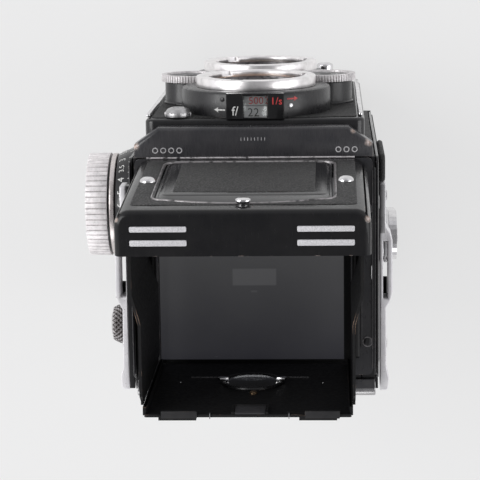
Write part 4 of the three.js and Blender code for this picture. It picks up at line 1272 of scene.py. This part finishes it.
ribs = []
for x in ((16.0, 31.9), (-30.6, -14.7)):
    for y in ((4.4, 6.0), (8.3, 10.0)):
        ribs.append(prism("z", rounded(x, y, 0.35, 3), (LID_LONG - 0.3, LID_LONG + 0.35)))
piece("lid_ribs", merge(*ribs), RIB_SILVER, "lid", edge=0.16)

# Magnifier on its arm behind the flap.
MAG_S, MAG_R, MAG_HINGE = 36, 11.5, 51
ring_profile = [
    (MAG_R, 1.7), (MAG_R + 0.4, 1.6), (MAG_R + 1.3, 1.9), (MAG_R + 1.5, 3), (MAG_R + 1.3, 4.1),
    (MAG_R + 0.4, 4.4), (MAG_R, 4.3), (MAG_R, 1.7)
]
legs = [
    block(sorted((hand * 10.4, hand * 12.5)), (1.8, 4.2), (MAG_S + 5, MAG_HINGE + 0.8)) for hand in (1, -1)
]
bar = rod("x", (3, MAG_HINGE), 1.2, (-12.5, 12.5), 32)
piece(
    "magnifier_frame", merge(turned("y", (0, MAG_S), ring_profile, 96), *legs, bar), HOOD_BLACK, "magnifier",
    "magnifier_arm", edge=0.15
)
lens = [(0, 1.7), (4, 1.85), (8, 2.3), (11.2, 2.9), (8, 3.6), (4, 4.1), (0, 4.3)]
piece(
    "magnifier_glass", turned("y", (0, MAG_S), lens, 96), MAGNIFIER_GLASS, "magnifier", "magnifier_lens",
    angle=60
)

for side in ("left", "right"):
    dress(f"hood_side_wall_{side}", HOOD_BLACK, 0.22)
dress("hood_back_wall", HOOD_BLACK, 0.22)
for hand, side in HANDS:
    flange = block(sorted((hand * 29.2, hand * 30.05)), (25.0, 27.4), (131.4, 188.2))
    piece(f"back_wall_flange_{side}", flange, HOOD_BLACK, "back_wall")
    lip = block(sorted((hand * 30.05, hand * 30.75)), (23.5, 24.92), (134.5, 186))
    piece(f"side_wall_lip_{side}", lip, HOOD_BLACK, f"{side}_wall")

# Eyepiece in the back wall, with two sprung clips, a rivet and a closed peep window.
eye = (0, EYEPIECE_Z)
bezel = [(8.0, 27), (8.0, 26.4), (8.5, 26.1), (9.2, 26.2), (9.5, 26.7), (9.5, 27.02), (8.0, 27)]
piece("eyepiece_bezel", turned("y", eye, bezel, 80), HOUSING_PAINT, "back_wall", edge=0.05)
dome = [(0, 25.7), (3, 25.78), (5.8, 26.05), (7.9, 26.45), (7.9, 26.75), (0, 26.9)]
piece("eyepiece_glass", turned("y", eye, dome, 80), EYE_GLASS, "back_wall", "eyepiece_lens", angle=60)
for hand, side in HANDS:
    clip = prism(
        "y",
        [
            (hand * 7.2, EYEPIECE_Z - 0.7), (hand * 9.8, EYEPIECE_Z - 1.4), (hand * 10.6, EYEPIECE_Z),
            (hand * 9.8, EYEPIECE_Z + 1.4), (hand * 7.2, EYEPIECE_Z + 0.7)
        ],
        (25.3, 26.1)
    )
    piece(f"eyepiece_clip_{side}", clip, CHROME, "back_wall", edge=0.2)
piece("back_wall_seam", block((-17, 19), (26.75, 27.03), (146.6, 146.85)), HINGE_STEEL, "back_wall")
piece(
    "back_wall_rivet",
    turned("y", (-0.8, 165.5), [(0, 26.2), (0.8, 26.3), (1.2, 26.7), (1.2, 27.05), (0, 27.05)], 24), BRASS,
    "back_wall"
)
piece(
    "peep_shutter", prism("y", rounded((-5, 3.8), (180.6, 188.8), 0.4), (26.55, 27.05)),
    matt("peep_grey", 0.035, 0.5, 0.3), "back_wall", edge=0.12
)
peep_sides = ((3.9, 4.7), (179.8, 188.9)), ((-5.9, -5.1), (179.8, 188.9)), ((-5.1, 3.9), (179.8, 180.5))
peep_frame = merge(*(block(x, (26.3, 27.05), z) for x, z in peep_sides))
piece("peep_frame", peep_frame, HOOD_BLACK, "back_wall", edge=0.15)
for low, high in ((14.5, 24.8), (-26.3, -16.3)):
    piece(
        f"back_wall_tab_{side_of(low)}", block((low, high), (25.9, 28.15), (188.5, 189.45)), BROWNED,
        "back_wall", edge=0.25
    )
for x in (10.8, -11.8):
    piece(
        f"back_wall_tick_{side_of(x)}", block((x - 0.12, x + 0.12), (26.6, 28.2), (187.6, 189.35)), CHROME,
        "back_wall"
    )
for x, z in ((21.9, 152.5), (-21.4, 153.4)):
    piece(
        f"back_wall_pin_{side_of(x)}",
        turned("y", (x, z), [(0, 26.75), (0.3, 26.8), (0.4, 27.02), (0, 27.02)], 16), HINGE_STEEL, "back_wall"
    )

# ---- stage, light and camera ----


def floor_material():
    n = Nodes("pale_floor")
    n.surface("Base Color", n.mix(n.noise(0.004), (0.2, 0.2, 0.2), (0.21, 0.21, 0.21)))
    n.surface("Roughness", 0.9)
    n.surface("Specular IOR Level", 0.1)
    n.surface("Emission Color", (1, 1, 1, 1))
    n.surface("Emission Strength", 0.622)
    return n.material


bpy.ops.mesh.primitive_plane_add(size=8, location=(0, 0, 0))
floor = bpy.context.object
floor.name = "floor"
floor.data.materials.append(floor_material())

world = bpy.data.worlds.new("studio")
bpy.context.scene.world = world
world.use_nodes = True
# The room is brightest around the horizon and to either side, and dim overhead.
tree = world.node_tree
direction = tree.nodes.new("ShaderNodeTexCoord")
axes = tree.nodes.new("ShaderNodeSeparateXYZ")
height = tree.nodes.new("ShaderNodeValToRGB")
while len(height.color_ramp.elements) < 4:
    height.color_ramp.elements.new(0.5)
for element, (position, tone) in zip(
    height.color_ramp.elements, ((0.0, 0.72), (0.25, 0.85), (0.62, 0.56), (0.9, 0.31))
):
    element.position = position
    element.color = (tone, tone, tone * 1.03, 1)
sideways = tree.nodes.new("ShaderNodeMath")
sideways.operation = "ABSOLUTE"
spread = tree.nodes.new("ShaderNodeMath")
spread.operation = "MULTIPLY_ADD"
spread.inputs[1].default_value, spread.inputs[2].default_value = 0.5, 0.8
background = tree.nodes["Background"]
for output, target in (
    (direction.outputs["Generated"], axes.inputs[0]), (axes.outputs["Z"], height.inputs["Fac"]),
    (axes.outputs["X"], sideways.inputs[0]), (sideways.outputs[0], spread.inputs[0]),
    (height.outputs["Color"], background.inputs["Color"]), (spread.outputs[0], background.inputs["Strength"]),
):
    tree.links.new(output, target)


def softbox(name, location, size, power):
    light = bpy.data.lights.new(name, "AREA")
    light.shape, light.size, light.size_y, light.energy = "RECTANGLE", size[0], size[1], power
    obj = bpy.data.objects.new(name, light)
    bpy.context.collection.objects.link(obj)
    obj.location = location
    obj.rotation_euler = (Vector((0, 0, 0.1)) - Vector(location)).to_track_quat("-Z", "Y").to_euler()


softbox("key", (0.9, -0.3, 0.9), (0.8, 0.8), 8.5)
softbox("fill", (-1.0, 0.1, 0.8), (0.7, 0.9), 4)
softbox("rear", (0.3, 1.0, 0.6), (1.2, 0.6), 4)

camera_data = bpy.data.cameras.new("camera")
camera_data.sensor_width = 36
camera_data.lens = 147.8
camera_data.clip_start = 0.01
camera = bpy.data.objects.new("camera", camera_data)
bpy.context.collection.objects.link(camera)
place = BODY @ Vector((-24.446, -123.671, 731.861))
right = Vector((-0.99888619, 0.01351565, -0.04520728))
up = Vector((-0.00509275, -0.98338246, -0.18147454))
camera.matrix_world = Matrix.Translation(place) @ Matrix((right, up, right.cross(up))).transposed().to_4x4()
bpy.context.scene.camera = camera
bpy.context.scene.view_settings.view_transform = "Standard"
